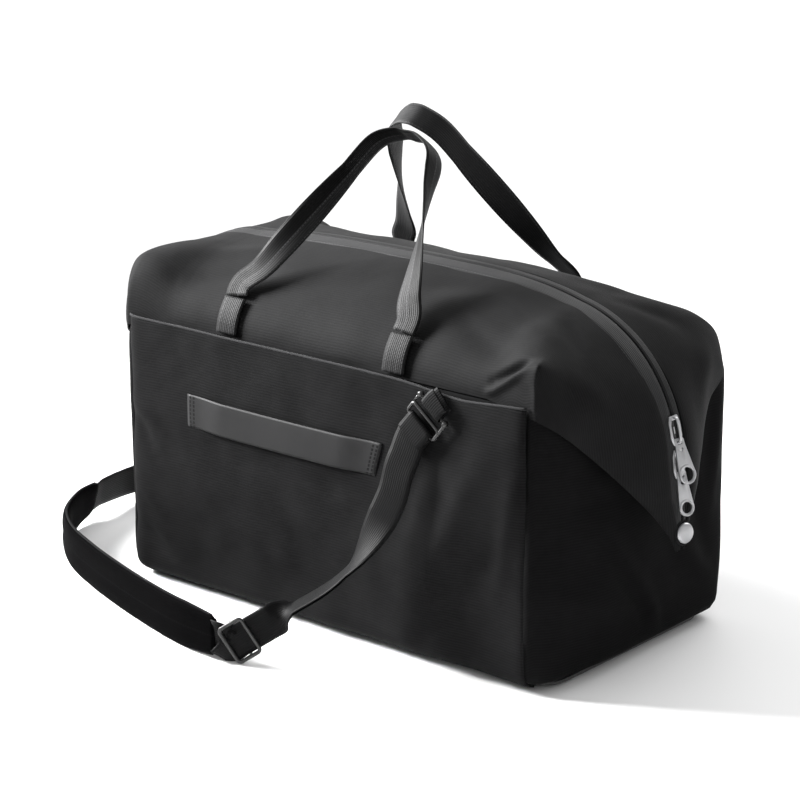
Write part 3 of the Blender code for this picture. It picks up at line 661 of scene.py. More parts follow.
def roof_surface(end, side, start_y=0.0135, rows=96, lift=0.0010):
    """The cloth of one quarter of the roof with its wing, from beside the zip out to its edge."""
    line, out = zip_line(end)
    edge, run, corner = edge_line(end, side, line)
    points = np.zeros((len(line), rows, 3))
    phi = np.linspace(0, math.pi / 2, 160)
    for i in range(len(line)):
        past = (run[i] - corner) / 0.034
        sharp = math.exp(-(past**2)) * CORNER_SHARPNESS[end, side]
        wing = min(max((run[i] - corner) / 0.10, 0), 1)
        wing = wing * wing * (3 - 2 * wing)
        p = 1.5 * (1 - wing) + 1.05 * wing
        q = 2.2 * (1 - wing) + 1.10 * wing
        p += 6.0 * sharp
        q += 1.0 * sharp
        f = np.sin(phi) ** (2 / p)
        h = np.cos(phi) ** (2 / q)
        zx, zz = line[i] + out[i] * lift
        y0 = min(start_y, max(edge[i][1] * 0.45, 0.004))
        x = edge[i][0] + (zx - edge[i][0]) * h
        y = y0 + (edge[i][1] - y0) * f
        z = edge[i][2] + (zz - edge[i][2]) * h
        bulge = 0.007 * wing * np.sin(2 * phi) * min(1, (run[-1] - run[i]) / 0.06)
        x = x + bulge
        points[i] = resample(np.stack([end * x, side * y, z], -1), rows)
    normals = grid_normals(points)
    if (normals * (points - np.array((0, 0, 0.12)))).sum() < 0:
        normals = -normals
    return points, normals, run


def roof_creases(end, side):
    """The folds of one quarter: the pinched corner, the line that runs up to it, and loose drapes."""
    e, s = end, side
    drapes = [
        ((e * 0.268, s * 0.100, 0.285), (e * 0.276, s * 0.060, 0.235), 0.0028, 0.0140),
        ((e * 0.130, s * 0.050, 0.326), (e * 0.215, s * 0.085, 0.315), 0.0030, 0.0130),
        ((e * 0.110, s * 0.085, 0.315), (e * 0.195, s * 0.115, 0.300), -0.0034, 0.0120),
        ((e * 0.050, s * 0.060, 0.325), (e * 0.120, s * 0.040, 0.330), -0.0022, 0.0160),
        ((e * 0.205, s * 0.040, 0.318), (e * 0.255, s * 0.080, 0.300), -0.0030, 0.0110),
    ]
    if end < 0:
        drapes[0] = ((-0.262, s * 0.116, 0.292), (-0.250, s * 0.134, 0.262), -0.0050, 0.0042)
        drapes[3] = ((-0.225, s * 0.060, 0.322), (-0.262, s * 0.110, 0.288), 0.0030, 0.0160)
    if side > 0 or end < 0:
        return drapes
    pinch = [
        ((e * 0.192, s * 0.136, 0.268), (e * 0.247, s * 0.134, 0.303), 0.0080, 0.0040),
        ((e * 0.246, s * 0.134, 0.304), (e * 0.258, s * 0.104, 0.303), 0.0064, 0.0040),
        ((e * 0.196, s * 0.134, 0.279), (e * 0.238, s * 0.124, 0.309), -0.0085, 0.0052),
        ((e * 0.238, s * 0.124, 0.309), (e * 0.246, s * 0.098, 0.310), -0.0040, 0.0052),
        ((e * 0.251, s * 0.136, 0.300), (e * 0.247, s * 0.138, 0.262), 0.0026, 0.0040),
        ((e * 0.226, s * 0.139, 0.282), (e * 0.242, s * 0.139, 0.270), -0.0022, 0.0060),
        ((e * 0.262, s * 0.118, 0.296), (e * 0.264, s * 0.112, 0.262), -0.0024, 0.0060),
    ]
    return pinch + drapes


def outward(points):
    return points - np.array((0, 0, 0.12))


def toward_front(points):
    return np.array((0, -1, 0)) + 0 * points


def toward_top(points):
    return np.array((0, 0, 1)) + 0 * points


def soft_blend(obj):
    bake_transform(obj)


def pull_out(points, centre, move, reach):
    """Draw a soft peak out of the cloth round one point."""
    distance = np.linalg.norm(points - np.array(centre), axis=-1)
    return points + np.exp(-((distance / reach) ** 1.25))[..., None] * np.array(move)


def build_roof():
    cloth = cloth_shader("roof_cloth", (0.0045, 0.0045, 0.0046), (0.0150, 0.0150, 0.0154))
    tapes = {
        -1: webbing_shader("zip_placket_cloth", (0.015, 0.015, 0.0154), (0.026, 0.026, 0.0266), (0.0200,)),
        1: webbing_shader("zip_tape_cloth", (0.006, 0.006, 0.0062), (0.014, 0.014, 0.0144), (0.0100,)),
    }
    coil = metal_shader("zip_coil_plastic", (0.006, 0.006, 0.006), 0.5, metal=0.0)
    for side in (-1, 1):
        right, _, run_right = roof_surface(1, side)
        left, _, run_left = roof_surface(-1, side)
        points = np.concatenate([left[::-1], right[1:]])
        run = np.concatenate([-run_left[::-1], run_right[1:]])
        normals = sheet_normals(points)
        sewn = points.copy()
        points = fold(points, normals, roof_creases(1, side) + roof_creases(-1, side))
        points = undulate(points, normals, 0.0013 if side < 0 else 0.0018, 0.075, 3 + side)
        if side < 0:
            points = pull_out(points, (0.243, -0.129, 0.291), (0.007, -0.009, 0.014), 0.017)
            points = pull_out(points, (-0.246, -0.108, 0.300), (-0.006, -0.002, 0.008), 0.030)
        free = np.clip(np.arange(points.shape[1])[::-1] / 5, 0, 1)[None, :, None]
        points = sewn + (points - sewn) * free * free * (3 - 2 * free)
        normals = sheet_normals(points)
        uv = grid_uv(points)
        uv[..., 0] = run[:, None]
        middle = len(left) - 1
        for end, part in ((-1, slice(0, middle + 1)), (1, slice(middle, None))):
            label = f"{SIDE[side]}_{LABEL[end]}"
            skin = sheet(
                f"roof_skin_{label}",
                points[part],
                cloth,
                0.0020,
                uv[part],
                outward=outward,
                normals=normals[part],
            )
            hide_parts(f"wing_{LABEL[end]}_{SIDE[side]}", f"roof_{SIDE[side]}")
            soft_blend(skin)
            line, out = zip_line(end)
            build_zip_half(label, end, side, line, out, tapes[side], coil)


def sheet_normals(points):
    normals = grid_normals(points)
    return -normals if (normals * outward(points)).sum() < 0 else normals


COIL_CORNERS = [(a, b, c) for c in (-1, 1) for a, b in ((-1, -1), (1, -1), (1, 1), (-1, 1))]
COIL_FACES = ((0, 3, 2, 1), (4, 5, 6, 7), (0, 1, 5, 4), (1, 2, 6, 5), (2, 3, 7, 6), (3, 0, 4, 7))


def zip_nodes(kind, end, side):
    """The zip's CAD nodes at one end and side. The right end's pieces also stand for the top stretch."""
    nodes = [f"zip_{kind}_{LABEL[end]}_{SIDE[side]}"]
    if end > 0:
        nodes.append(f"zip_{kind}_top_{SIDE[side]}")
    return nodes


def build_zip_half(label, end, side, line, out, tape, coil):
    """One side of the zip at one end: its tape, and the coil sewn under the tape's edge."""
    keep = line[:, 1] > 0.138
    path, normal = line[keep], out[keep]
    width = 0.0225 if side < 0 else 0.0125
    across = np.linspace(0, 1, 9)
    narrow = np.clip((path[:, 1] - 0.135) / 0.045, 0.45, 1)
    drop = np.array([-0.0012, -0.0002, 0.0, 0.0, 0.0, 0.0, -0.0001, -0.0004, -0.0016])
    points = np.zeros((len(path), len(across), 3))
    for j, (share, d) in enumerate(zip(across, drop)):
        y = 0.0007 + (width * narrow - 0.0007) * share
        lift = 0.0030 + d - 0.07 * y
        points[:, j, 0] = end * (path[:, 0] + normal[:, 0] * lift)
        points[:, j, 1] = side * y
        points[:, j, 2] = path[:, 1] + normal[:, 1] * lift
    strip = sheet(f"zip_tape_{label}", points, tape, 0.0011, outward=outward, normals=sheet_normals(points))
    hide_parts(*zip_nodes("tape", end, side))
    soft_blend(strip)
    run = distance_along(path)
    pitch = 0.0024
    verts, faces, uvs = [], [], []
    for k in range(int(run[-1] / pitch)):
        s = (k + (0.25 if side < 0 else 0.75)) * pitch
        x, z = np.interp(s, run, path[:, 0]), np.interp(s, run, path[:, 1])
        nx, nz = np.interp(s, run, normal[:, 0]), np.interp(s, run, normal[:, 1])
        tx, tz = nz, -nx
        base = len(verts)
        for a, b, c in COIL_CORNERS:
            y = 0.0003 if b < 0 else 0.0040
            n = -0.0006 + 0.0010 * c * (0.7 if b < 0 else 1.0)
            t = 0.00062 * a
            verts.append((end * (x + nx * n + tx * t), side * y, z + nz * n + tz * t))
            uvs.append((s, y))
        for quad in COIL_FACES:
            face = tuple(base + q for q in quad)
            faces.append(face if end * side > 0 else face[::-1])
    teeth = make_object(f"zip_teeth_{label}", verts, faces, uvs, coil, smooth=False)
    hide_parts(*zip_nodes("teeth", end, side))
    soft_blend(teeth)


# Walls, base, pocket and lining


def outline(count, half_x=HALF_LENGTH, front=-HALF_DEPTH, back=HALF_DEPTH, radius=0.030, back_radius=None):
    """Even points round a rounded rectangle, starting at the middle of the back."""
    back_radius = back_radius or radius
    corners = (
        (half_x - back_radius, back - back_radius, 90, 0, back_radius),
        (half_x - radius, front + radius, 0, -90, radius),
        (-half_x + radius, front + radius, -90, -180, radius),
        (-half_x + back_radius, back - back_radius, -180, -270, back_radius),
    )
    points = [(0.0, back)]
    for cx, cy, first, last, radius in corners:
        for a in np.radians(np.linspace(first, last, 14)):
            points.append((cx + radius * math.cos(a), cy + radius * math.sin(a)))
    points.append((0.0, back))
    return resample(points, count)


def build_walls():
    # Painted shade: the walls and base take the roof's fabric at about half its tone, a shaded copy standing
    # in for the shade on the sides away from the light.
    cloth = cloth_shader("wall_cloth_painted_shade", (0.0022, 0.0022, 0.0023), (0.0085, 0.0085, 0.0087), gloss=0.45)
    count, rows = 300, 52
    ring = outline(count, back_radius=0.016)
    low, top = 0.0035, 0.2600
    heights = low + (top - low) * np.linspace(0, 1, rows) ** 0.9
    points = np.zeros((count, rows, 3))
    normal2 = np.stack([np.gradient(ring[:, 1]), -np.gradient(ring[:, 0])], -1)
    normal2 = unit(normal2)
    if (normal2 * ring).sum() < 0:
        normal2 = -normal2
    for j, z in enumerate(heights):
        radius = 0.019
        tuck = radius - math.sqrt(max(radius**2 - max(radius - (z - low), 0) ** 2, 0))
        points[:, j, :2] = ring - normal2 * tuck
        points[:, j, 2] = z
    x, y, z = points[..., 0], points[..., 1], points[..., 2]
    v = (z - low) / (top - low)
    end_face = np.clip((np.abs(x) - 0.236) / 0.02, 0, 1)
    middle = np.clip(1 - (np.abs(y) / 0.125) ** 2, 0, 1)
    rise = np.sin(math.pi * np.clip(v * 0.9 + 0.05, 0, 1))
    points[..., 0] += np.sign(x) * end_face * 0.0055 * middle * rise
    edge_in = np.clip((0.262 - z) / 0.02, 0, 1)
    points[..., 0] -= np.sign(x) * end_face * (1 - edge_in) * 0.004
    recess = np.clip((0.2345 - x) / 0.004, 0, 1) * np.clip((x + 0.2385) / 0.004, 0, 1)
    front = y < -0.10
    points[..., 1] += np.where(front, recess * 0.0067, 0)
    normals = grid_normals(np.concatenate([points[-2:-1], points, points[1:2]]))[1:-1]
    if (normals * outward(points)).sum() < 0:
        normals = -normals
    swell = 0.0040 * np.sin(math.pi * v**0.75) * np.clip((y + 0.120) / 0.06, 0, 1)
    points = undulate(points + normals * swell[..., None], normals, 0.0016, 0.085, 5)
    creases = [
        ((0.262, -0.063, 0.135), (0.262, -0.008, 0.077), 0.0046, 0.0085),
        ((0.262, -0.008, 0.077), (0.262, 0.025, 0.029), 0.0040, 0.0085),
        ((0.262, -0.045, 0.098), (0.262, 0.005, 0.045), -0.0045, 0.0085),
        ((0.262, -0.120, 0.091), (0.262, -0.040, 0.060), 0.0034, 0.0100),
        ((0.262, -0.110, 0.170), (0.262, -0.030, 0.160), -0.0036, 0.0120),
        ((0.262, -0.100, 0.040), (0.262, -0.020, 0.018), 0.0030, 0.0090),
        ((0.262, 0.050, 0.200), (0.262, 0.100, 0.080), -0.0036, 0.0110),
        ((0.255, 0.120, 0.240), (0.262, 0.110, 0.120), 0.0040, 0.0090),
        ((0.262, 0.040, 0.110), (0.262, 0.110, 0.050), 0.0034, 0.0100),
        ((-0.262, -0.070, 0.180), (-0.262, 0.030, 0.120), 0.0035, 0.0120),
        ((-0.262, -0.090, 0.100), (-0.262, 0.060, 0.050), 0.0035, 0.0120),
        ((-0.160, 0.139, 0.190), (-0.030, 0.139, 0.120), 0.0025, 0.0160),
        ((0.060, 0.139, 0.180), (0.180, 0.139, 0.080), 0.0028, 0.0160),
    ]
    points = fold(points, normals, creases)
    walls = sheet("wall_shell", points, cloth, 0.0030, loop=True, outward=outward)
    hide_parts("front_panel", "back_panel", "end_panel_left", "end_panel_right")
    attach(walls, "body")

    rings = []
    for share in np.linspace(0, 1, 14):
        inset = 0.112 * share
        radius = max(0.019 - inset * 0.12, 0.003)
        loop = outline(count, HALF_LENGTH - 0.0225 - inset, -0.1165 + inset, 0.1165 - inset, radius)
        rings.append(np.concatenate([loop, np.full((count, 1), 0.0004)], -1))
    edge = []
    for a in np.radians((0, 30, 60, 90)):
        inset = 0.0188 + 0.0030 * (1 - math.cos(a))
        loop = outline(count, HALF_LENGTH - inset, -HALF_DEPTH + inset, HALF_DEPTH - inset, 0.020)
        edge.append(np.concatenate([loop, np.full((count, 1), 0.0046 - 0.0042 * math.sin(a))], -1))
    base_points = np.stack(edge + rings[1:], 1)
    base = sheet("base_cloth", base_points, cloth, 0.0022, loop=True, outward=outward)
    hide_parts("base_panel")
    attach(base, "body")


def pocket_top(x):
    """Height of the pocket's mouth: level, with a shallow dip towards the right."""
    return 0.2632 - 0.0055 * np.exp(-(((x - 0.165) / 0.045) ** 2))


def build_pocket():
    cloth = cloth_shader("pocket_cloth", (0.0030, 0.0030, 0.0031), (0.0150, 0.0150, 0.0154), 0.30, gloss=0.6)
    edge_cloth = cloth_shader("hem_cloth", (0.018, 0.018, 0.0185), (0.036, 0.036, 0.037))
    n, m = 150, 90
    x = np.linspace(-0.2410, 0.2372, n)
    share = np.linspace(0, 1, m)
    points = np.zeros((n, m, 3))
    for i in range(n):
        top = pocket_top(x[i])
        points[i, :, 0] = x[i]
        points[i, :, 2] = 0.0034 + (top - 0.0034) * share**1.15
    px, pz = points[..., 0], points[..., 2]
    side = np.clip(np.minimum(px + 0.2410, 0.2372 - px) / 0.020, 0, 1)
    side = np.sqrt(side * (2 - side))
    bulge = 0.0035 * side * np.sin(math.pi * np.clip(pz / 0.29, 0, 1)) ** 0.8
    radius, corner = 0.019, 0.030
    tuck = radius - np.sqrt(np.maximum(radius**2 - np.maximum(radius - (pz - 0.0030), 0) ** 2, 0))
    round_off = corner - np.sqrt(corner**2 - np.maximum(np.abs(px) - (HALF_LENGTH - corner), 0) ** 2)
    points[..., 1] = -0.1394 - bulge * 0.9 + tuck + round_off * 0.9
    normals = np.zeros_like(points)
    normals[..., 1] = -1
    points = undulate(points, normals, 0.0015, 0.060, 9)
    creases = [
        ((0.150, -0.14, 0.235), (0.075, -0.14, 0.095), -0.0030, 0.0150),
        ((0.190, -0.14, 0.215), (0.120, -0.14, 0.060), 0.0026, 0.0140),
        ((0.215, -0.14, 0.225), (0.080, -0.14, 0.020), 0.0050, 0.0400),
        ((0.245, -0.14, 0.180), (0.175, -0.14, 0.000), -0.0040, 0.0400),
        ((0.205, -0.14, 0.120), (0.120, -0.14, 0.020), -0.0024, 0.0120),
        ((0.228, -0.14, 0.200), (0.205, -0.14, 0.080), 0.0024, 0.0090),
        ((-0.236, -0.14, 0.165), (-0.205, -0.14, 0.130), -0.0034, 0.0075),
        ((-0.236, -0.14, 0.180), (-0.196, -0.14, 0.160), 0.0022, 0.0080),
        ((-0.236, -0.14, 0.060), (-0.190, -0.14, 0.030), -0.0032, 0.0085),
        ((-0.232, -0.14, 0.100), (-0.200, -0.14, 0.075), 0.0022, 0.0080),
        ((-0.170, -0.14, 0.120), (-0.040, -0.14, 0.060), 0.0018, 0.0180),
        ((-0.060, -0.14, 0.100), (0.070, -0.14, 0.030), -0.0020, 0.0170),
        ((-0.150, -0.14, 0.150), (0.060, -0.14, 0.150), -0.0012, 0.0110),
        ((-0.205, -0.14, 0.245), (-0.150, -0.14, 0.215), -0.0014, 0.0120),
        ((0.020, -0.14, 0.240), (0.090, -0.14, 0.212), -0.0016, 0.0120),
    ]
    points = fold(points, normals, creases)
    front = sheet("pocket_front", points, cloth, 0.0018, outward=toward_front)
    hem_path = points[:, -1] + np.array((0, 0.0004, 0.0))
    hem = tube("pocket_hem", hem_path, 0.0012, edge_cloth, steps=8)
    pocket = joined("slip_pocket_cloth", [front, hem])
    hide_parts("slip_pocket")
    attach(pocket, "body")


def build_band():
    """The luggage band: sewn down at both ends, bowed off the pocket between them."""
    length, n, m = 0.236, 60, 15
    leather = band_shader(length)
    points = np.zeros((n, m, 3))
    for i, u in enumerate(np.linspace(0, 1, n)):
        free = min(max((u - 0.045) / 0.16, 0), 1) * min(max((0.955 - u) / 0.16, 0), 1)
        free = free * free * (3 - 2 * free)
        for j, w in enumerate(np.linspace(0, 1, m)):
            slant = 0.0045 * (w - 0.5) * 2 * u
            x = -0.1615 + 0.2365 * u + slant
            z = 0.1685 + 0.0320 * w - 0.0008 * math.sin(math.pi * u)
            crown = 0.0005 * (1 - (2 * w - 1) ** 4)
            out = 0.1440 + 0.0022 * free + crown
            out -= 0.0014 * (1 - free)
            points[i, j] = (x, -out, z)
    band = sheet("luggage_band_leather", points, leather, 0.0013, outward=toward_front)
    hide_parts("luggage_band")
    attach(band, "body")


def build_lining():
    s = cloth_shader("lining_cloth", (0.020, 0.020, 0.022), (0.042, 0.042, 0.045), 0.1)
    count, rows = 200, 22
    ring = outline(count, 0.2495, -0.1240, 0.1305, 0.024)
    heights = np.linspace(0.0075, 0.2415, rows)
    points = np.zeros((count, rows, 3))
    points[..., :2] = ring[:, None]
    points[..., 2] = heights
    normals = grid_normals(np.concatenate([points[-2:-1], points, points[1:2]]))[1:-1]
    points = undulate(points, normals, 0.0012, 0.05, 2)
    inside = sheet("lining_walls", points, s, 0.0008, loop=True, outward=outward)
    floor_rings = []
    for share in np.linspace(0, 1, 10):
        inset = 0.120 * share
        radius = max(0.023 - inset * 0.15, 0.002)
        loop = outline(count, 0.2490 - inset, -0.1235 + inset, 0.1300 - inset, radius)
        floor_rings.append(np.concatenate([loop, np.full((count, 1), 0.0082)], -1))
    floor_points = np.stack(floor_rings, 1)
    floor = sheet("lining_floor", floor_points, s, 0.0008, loop=True, outward=toward_top)
    lining = joined("lining_cloth_tub", [inside, floor])
    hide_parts("lining")
    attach(lining, "body")


# Handles


HANDLE_LEGS = (-0.116, 0.086)
HANDLE_WIDTH = 0.0255


def anchor_path(x, side):
    """The sewn foot of a handle, up the roof from the hinge line."""
    hinge = abs(FRONT_HINGE_Y if side < 0 else BACK_HINGE_Y)
    end = 1 if x > 0 else -1
    ridge = ridge_z(abs(x), end)
    points = []
    for t in np.linspace(0, 1, 8):
        y = 0.1338 - 0.0130 * t**1.6
        f = (y - 0.009) / (0.1335 - 0.009)
        z = HINGE_Z + (ridge + 0.001 - HINGE_Z) * (1 - min(f, 1) ** 2.5) ** (1 / 1.8)
        points.append((x, side * (y + hinge - 0.1335), z))
    points = np.array(points)
    along = unit(np.gradient(points, axis=0))
    out = np.cross(along, (1, 0, 0)) * side
    out = out * np.sign((out * np.array((0, side, 1))).sum(-1, keepdims=True))
    return points + out * 0.0022, along


def build_handles():
    foot_lines = (-0.0095, -0.0035, 0.0035, 0.0095)
    light = webbing_shader("anchor_webbing", (0.004, 0.004, 0.0041), (0.0135, 0.0135, 0.0138), foot_lines)
    # The front handle's webbing has a darker zone on one side of its width as painted shade; the rest of the
    # width stands in for the lit side.
    front = ((0.0040, 0.0040, 0.0041), (0.024, 0.024, 0.0246), (0.0108, 0.0020), 0.0008)
    back = ((0.0060, 0.0060, 0.0062), (0.020, 0.020, 0.0205), (-0.0108, 0.0108))
    loops = {
        -1: webbing_shader("handle_webbing_front", *front),
        1: webbing_shader("handle_webbing_back", *back),
    }
    tops = {
        -1: ((-0.028, -0.025, 0.441), (0.041, -0.025, 0.436), 0.452),
        1: ((-0.040, 0.015, 0.450), (0.018, 0.015, 0.450), 0.465),
    }
    for side in (-1, 1):
        feet = []
        for label, x in zip(("left", "right"), HANDLE_LEGS):
            path, along = anchor_path(x, side)
            extra = np.array([path[-1] + along[-1] * 0.0004])
            foot = ribbon(
                f"handle_foot_{SIDE[side]}_{label}",
                resample(np.concatenate([path, extra]), 20),
                np.tile((1.0, 0, 0), (20, 1)),
                HANDLE_WIDTH,
                0.0024,
                light,
            )
            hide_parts(f"handle_anchor_{SIDE[side]}_{label}")
            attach(foot, f"mouth_{SIDE[side]}")
            feet.append(path[-1] + along[-1] * 0.0022)
        build_handle(side, feet, tops[side], loops[side])


def build_handle(side, feet, top, material):
    left, right = (Vector(f) for f in feet)
    top_left, top_right, top_z = Vector(top[0]), Vector(top[1]), top[2]
    lean = (top_left - left).normalized()
    lean_right = (top_right - right).normalized()
    facing = Vector((side, 0, 0)).cross((top_left + top_right) / 2 - (left + right) / 2).normalized()
    height = top_z - top_left.z
    crown = (top_left + top_right) / 2 + Vector((0, (lean.y + lean_right.y) * height / (2 * lean.z), height))
    straight = Vector((0, lean.y, lean.z)).normalized() * 0.014
    up = [left, left + straight] + [left.lerp(top_left, k) for k in (0.19, 0.35, 0.6, 0.8, 1.0)]
    down = [right.lerp(top_right, k) for k in (1.0, 0.8, 0.6, 0.35, 0.19)] + [right + straight, right]
    shoulders = (top_left.lerp(crown, 0.55) + lean * 0.006, top_right.lerp(crown, 0.55) + lean_right * 0.006)
    keys = up + [shoulders[0], crown, shoulders[1]] + down
    count = 141
    path = smooth_path([tuple(k) for k in keys], count)
    sides = []
    for i in range(count):
        along = Vector(path[min(i + 1, count - 1)] - path[max(i - 1, 0)]).normalized()
        in_plane = along.cross(facing)
        right_half = i > count // 2
        if in_plane.x > 0 and right_half or in_plane.x < 0 and not right_half:
            in_plane.negate()
        share = min(i, count - 1 - i) / (count // 2)
        turn = math.radians(90) * min(max((share - 0.12) / 0.6, 0), 1)
        sides.append(in_plane * math.cos(turn) + facing * math.sin(turn))
    sides = [tuple(s) for s in sides]
    loop = ribbon(f"handle_loop_{SIDE[side]}", path, sides, HANDLE_WIDTH, 0.0028, material, crown=0.0006)
    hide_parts(f"handle_{SIDE[side]}")
    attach(loop, f"{SIDE[side]}_handle")


# Hardware on the zip


SLIDER_LENGTH, SLIDER_WIDTH = 0.026, 0.016
BRIDGE_FOOT, PIVOT_BACK, PIVOT_HEIGHT = 0.0100, 0.0021, 0.0044
PULL_LENGTH, PULL_ROLL = 0.041, 20


def box_part(low, high, material):
    verts = [(x, y, z) for z in (low[2], high[2]) for y in (low[1], high[1]) for x in (low[0], high[0])]
    faces = [(0, 2, 3, 1), (4, 5, 7, 6), (0, 1, 5, 4), (2, 6, 7, 3), (0, 4, 6, 2), (1, 3, 7, 5)]
    return make_object("part", verts, faces, [(v[0], v[1]) for v in verts], material, smooth=False)


def build_slider(name, node, body, z, metal, dark):
    """A slider: a shield-shaped top plate with turned-down sides, its wedge, and a long oval bridge."""
    place = zip_place(1, z)
    half_l, half_w = SLIDER_LENGTH / 2, SLIDER_WIDTH / 2
    near = [(-half_l, -half_w * 0.72), (-half_l * 0.55, -half_w), (half_l * 0.5, -half_w)]
    near.append((half_l, -half_w * 0.70))
    shield = near + [(x, -y) for x, y in reversed(near)]
    window = [(x * 0.70, y * 0.62) for x, y in shield]
    top = flat_plate("top", [shield, window], 0.0018, metal)
    top.data.transform(Matrix.Translation((0, 0, 0.0026)))
    # Painted shade: the under plate is the slider's own cast metal, given the dark gloss material to stand in
    # for the shade under the top plate.
    under = flat_plate("under", [[(x * 0.94, y * 0.94) for x, y in shield]], 0.0012, dark)
    under.data.transform(Matrix.Translation((0, 0, 0.0012)))
    wedge = box_part((-0.0030, -0.0008, -0.0030), (0.0030, 0.0008, 0.0020), metal)
    parts = [bevelled(top, 0.0005), bevelled(under, 0.0004), wedge]
    for side in (-1, 1):
        low, high = sorted((side * half_w, side * (half_w - 0.0012)))
        flange = box_part((-half_l * 0.45, low, 0.0002), (half_l * 0.45, high, 0.0024), metal)
        parts.append(bevelled(flange, 0.0004))
    bridge = [(-0.0110, 0.0030), (-0.0112, 0.0052), (-0.0098, 0.0068), (-0.0060, 0.0073), (0.0, 0.0074)]
    bridge += [(0.0060, 0.0073), (0.0095, 0.0067), (0.0108, 0.0050), (0.0108, 0.0030)]
    path = smooth_path([(x, 0, h) for x, h in bridge], 36)
    parts.append(ribbon("bridge", path, np.tile((0, 1.0, 0), (36, 1)), 0.0030, 0.0016, metal))
    slider = joined(name, parts)
    slider.data.transform(place)
    slider.data.shade_smooth()
    slider.data.set_sharp_from_angle(angle=math.radians(40))
    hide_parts(node)
    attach(slider, body)


def build_pull(name, node, body, z, lean, metal, hole, wide):
    """A tapered pull with an eye at its pivot, a raised rim round its wide end and a large hole in it."""
    place = zip_place(1, z) @ Matrix.Translation((BRIDGE_FOOT - PIVOT_BACK, 0, PIVOT_HEIGHT))
    place = place @ Matrix.Rotation(math.radians(-lean), 4, "Y")
    place = place @ Matrix.Rotation(math.radians(PULL_ROLL), 4, "X")
    end_x = PULL_LENGTH - 0.0088
    outline_points = [(-0.0007, -0.0040), (-0.0007, 0.0040), (0.0010, 0.0050), (0.0070, 0.0052)]
    for i in range(25):
        a = math.radians(105 - 210 * i / 24)
        outline_points.append((end_x + wide * math.cos(a), wide * math.sin(a)))
    outline_points += [(0.0070, -0.0052), (0.0010, -0.0050)]
    eye = [(0.0007, -0.0026), (0.0052, -0.0026), (0.0052, 0.0026), (0.0007, 0.0026)]
    small = ring_points(0.0095, 0, 0.0018, 0.0022, steps=16)
    plate = flat_plate("plate", [outline_points, eye, small, ring_points(end_x, 0, hole)], 0.0015, metal)
    parts = [bevelled(plate, 0.00035)]
    rim = [(x, y, 0.0006) for x, y in ring_points(end_x, 0, (hole + wide) / 2 + 0.0003, steps=48)]
    parts.append(tube("rim", rim, 0.00085, metal, loop=True, steps=8))
    pull = joined(name, parts)
    pull.data.transform(place)
    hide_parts(node)
    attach(pull, body)


def lathe(name, profile, place, material, steps=56):
    verts, uvs = [], []
    for r, h in profile:
        for i in range(steps):
            a = 2 * math.pi * i / steps
            verts.append((r * math.cos(a), r * math.sin(a), h))
            uvs.append((r * math.cos(a), r * math.sin(a)))
    obj = make_object(name, verts, ring_faces(len(profile), steps), uvs, material)
    obj.data.transform(place)
    return obj


STUD_TAB = ((0.0112, -0.0006), (0.0118, -0.0001), (0.0116, 0.0005), (0.0104, 0.0008), (0.002, 0.0008))


def build_snaps(metal):
    cloth = cloth_shader("tab_cloth", (0.0060, 0.0060, 0.0062), (0.016, 0.016, 0.0164))
    for end in (1, -1):
        place = zip_place(end, 0.130, 0.0024)
        profile = [(0.0090, 0.0008), (0.0093, 0.0012), (0.0093, 0.0019), (0.0089, 0.0024)]
        for a in np.radians(np.linspace(15, 86, 9)):
            profile.append((0.0089 * math.cos(a) ** 0.75, 0.0024 + 0.0021 * math.sin(a)))
        tilt = Matrix.Translation((0, 0, 0.0010)) @ Matrix.Rotation(math.radians(end * 12), 4, "X")
        cap = lathe(f"press_stud_{LABEL[end]}", profile, place @ tilt, metal)
        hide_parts(f"snap_cap_{LABEL[end]}")
        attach(cap, f"{LABEL[end]}_snap")
        tab = lathe(f"stud_tab_{LABEL[end]}", STUD_TAB, place, cloth)
        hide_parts(f"zip_end_tab_{LABEL[end]}")
        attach(tab, f"{LABEL[end]}_snap")


# Strap, hooks, adjuster and pad


HOOK_DOWN = Vector((-0.62, 0.0, -0.76)).normalized()
HOOK_BAR = Vector((0.775, 0.0, -0.632)).normalized()
SLOT_LENGTH, SLOT_HEIGHT, BAR, HOOK_PLATE = 0.0335, 0.0080, 0.0032, 0.0036
STRAP_WIDTH, STRAP_THICK = 0.031, 0.0016
KNOB = ((0.0012, -0.0024), (0.0026, -0.0018), (0.0029, 0), (0.0026, 0.0018), (0.0012, 0.0024))
GLIDE_CENTRE = Vector((-0.0050, -0.2405, 0.0228))
GLIDE_ALONG = Vector((0.64, 0.45, 0.50)).normalized()
GLIDE_ACROSS = Vector((0.45, 0.25, -0.86))
STRAP_TURN = Vector((0.56, -0.82, -0.02))


def hook_place(end):
    return frame_at((end * 0.1345, end * -0.1475, 0.2375), HOOK_BAR, HOOK_DOWN)


def rounded_loop(half_x, low_y, high_y, corner, steps=6):
    points = []
    for cx, cy, first in (
        (half_x - corner, high_y - corner, 0),
        (-half_x + corner, high_y - corner, 90),
        (-half_x + corner, low_y + corner, 180),
        (half_x - corner, low_y + corner, 270),
    ):
        for i in range(steps + 1):
            a = math.radians(first + 90 * i / steps)
            points.append((cx + corner * math.cos(a), cy + corner * math.sin(a), 0))
    return points


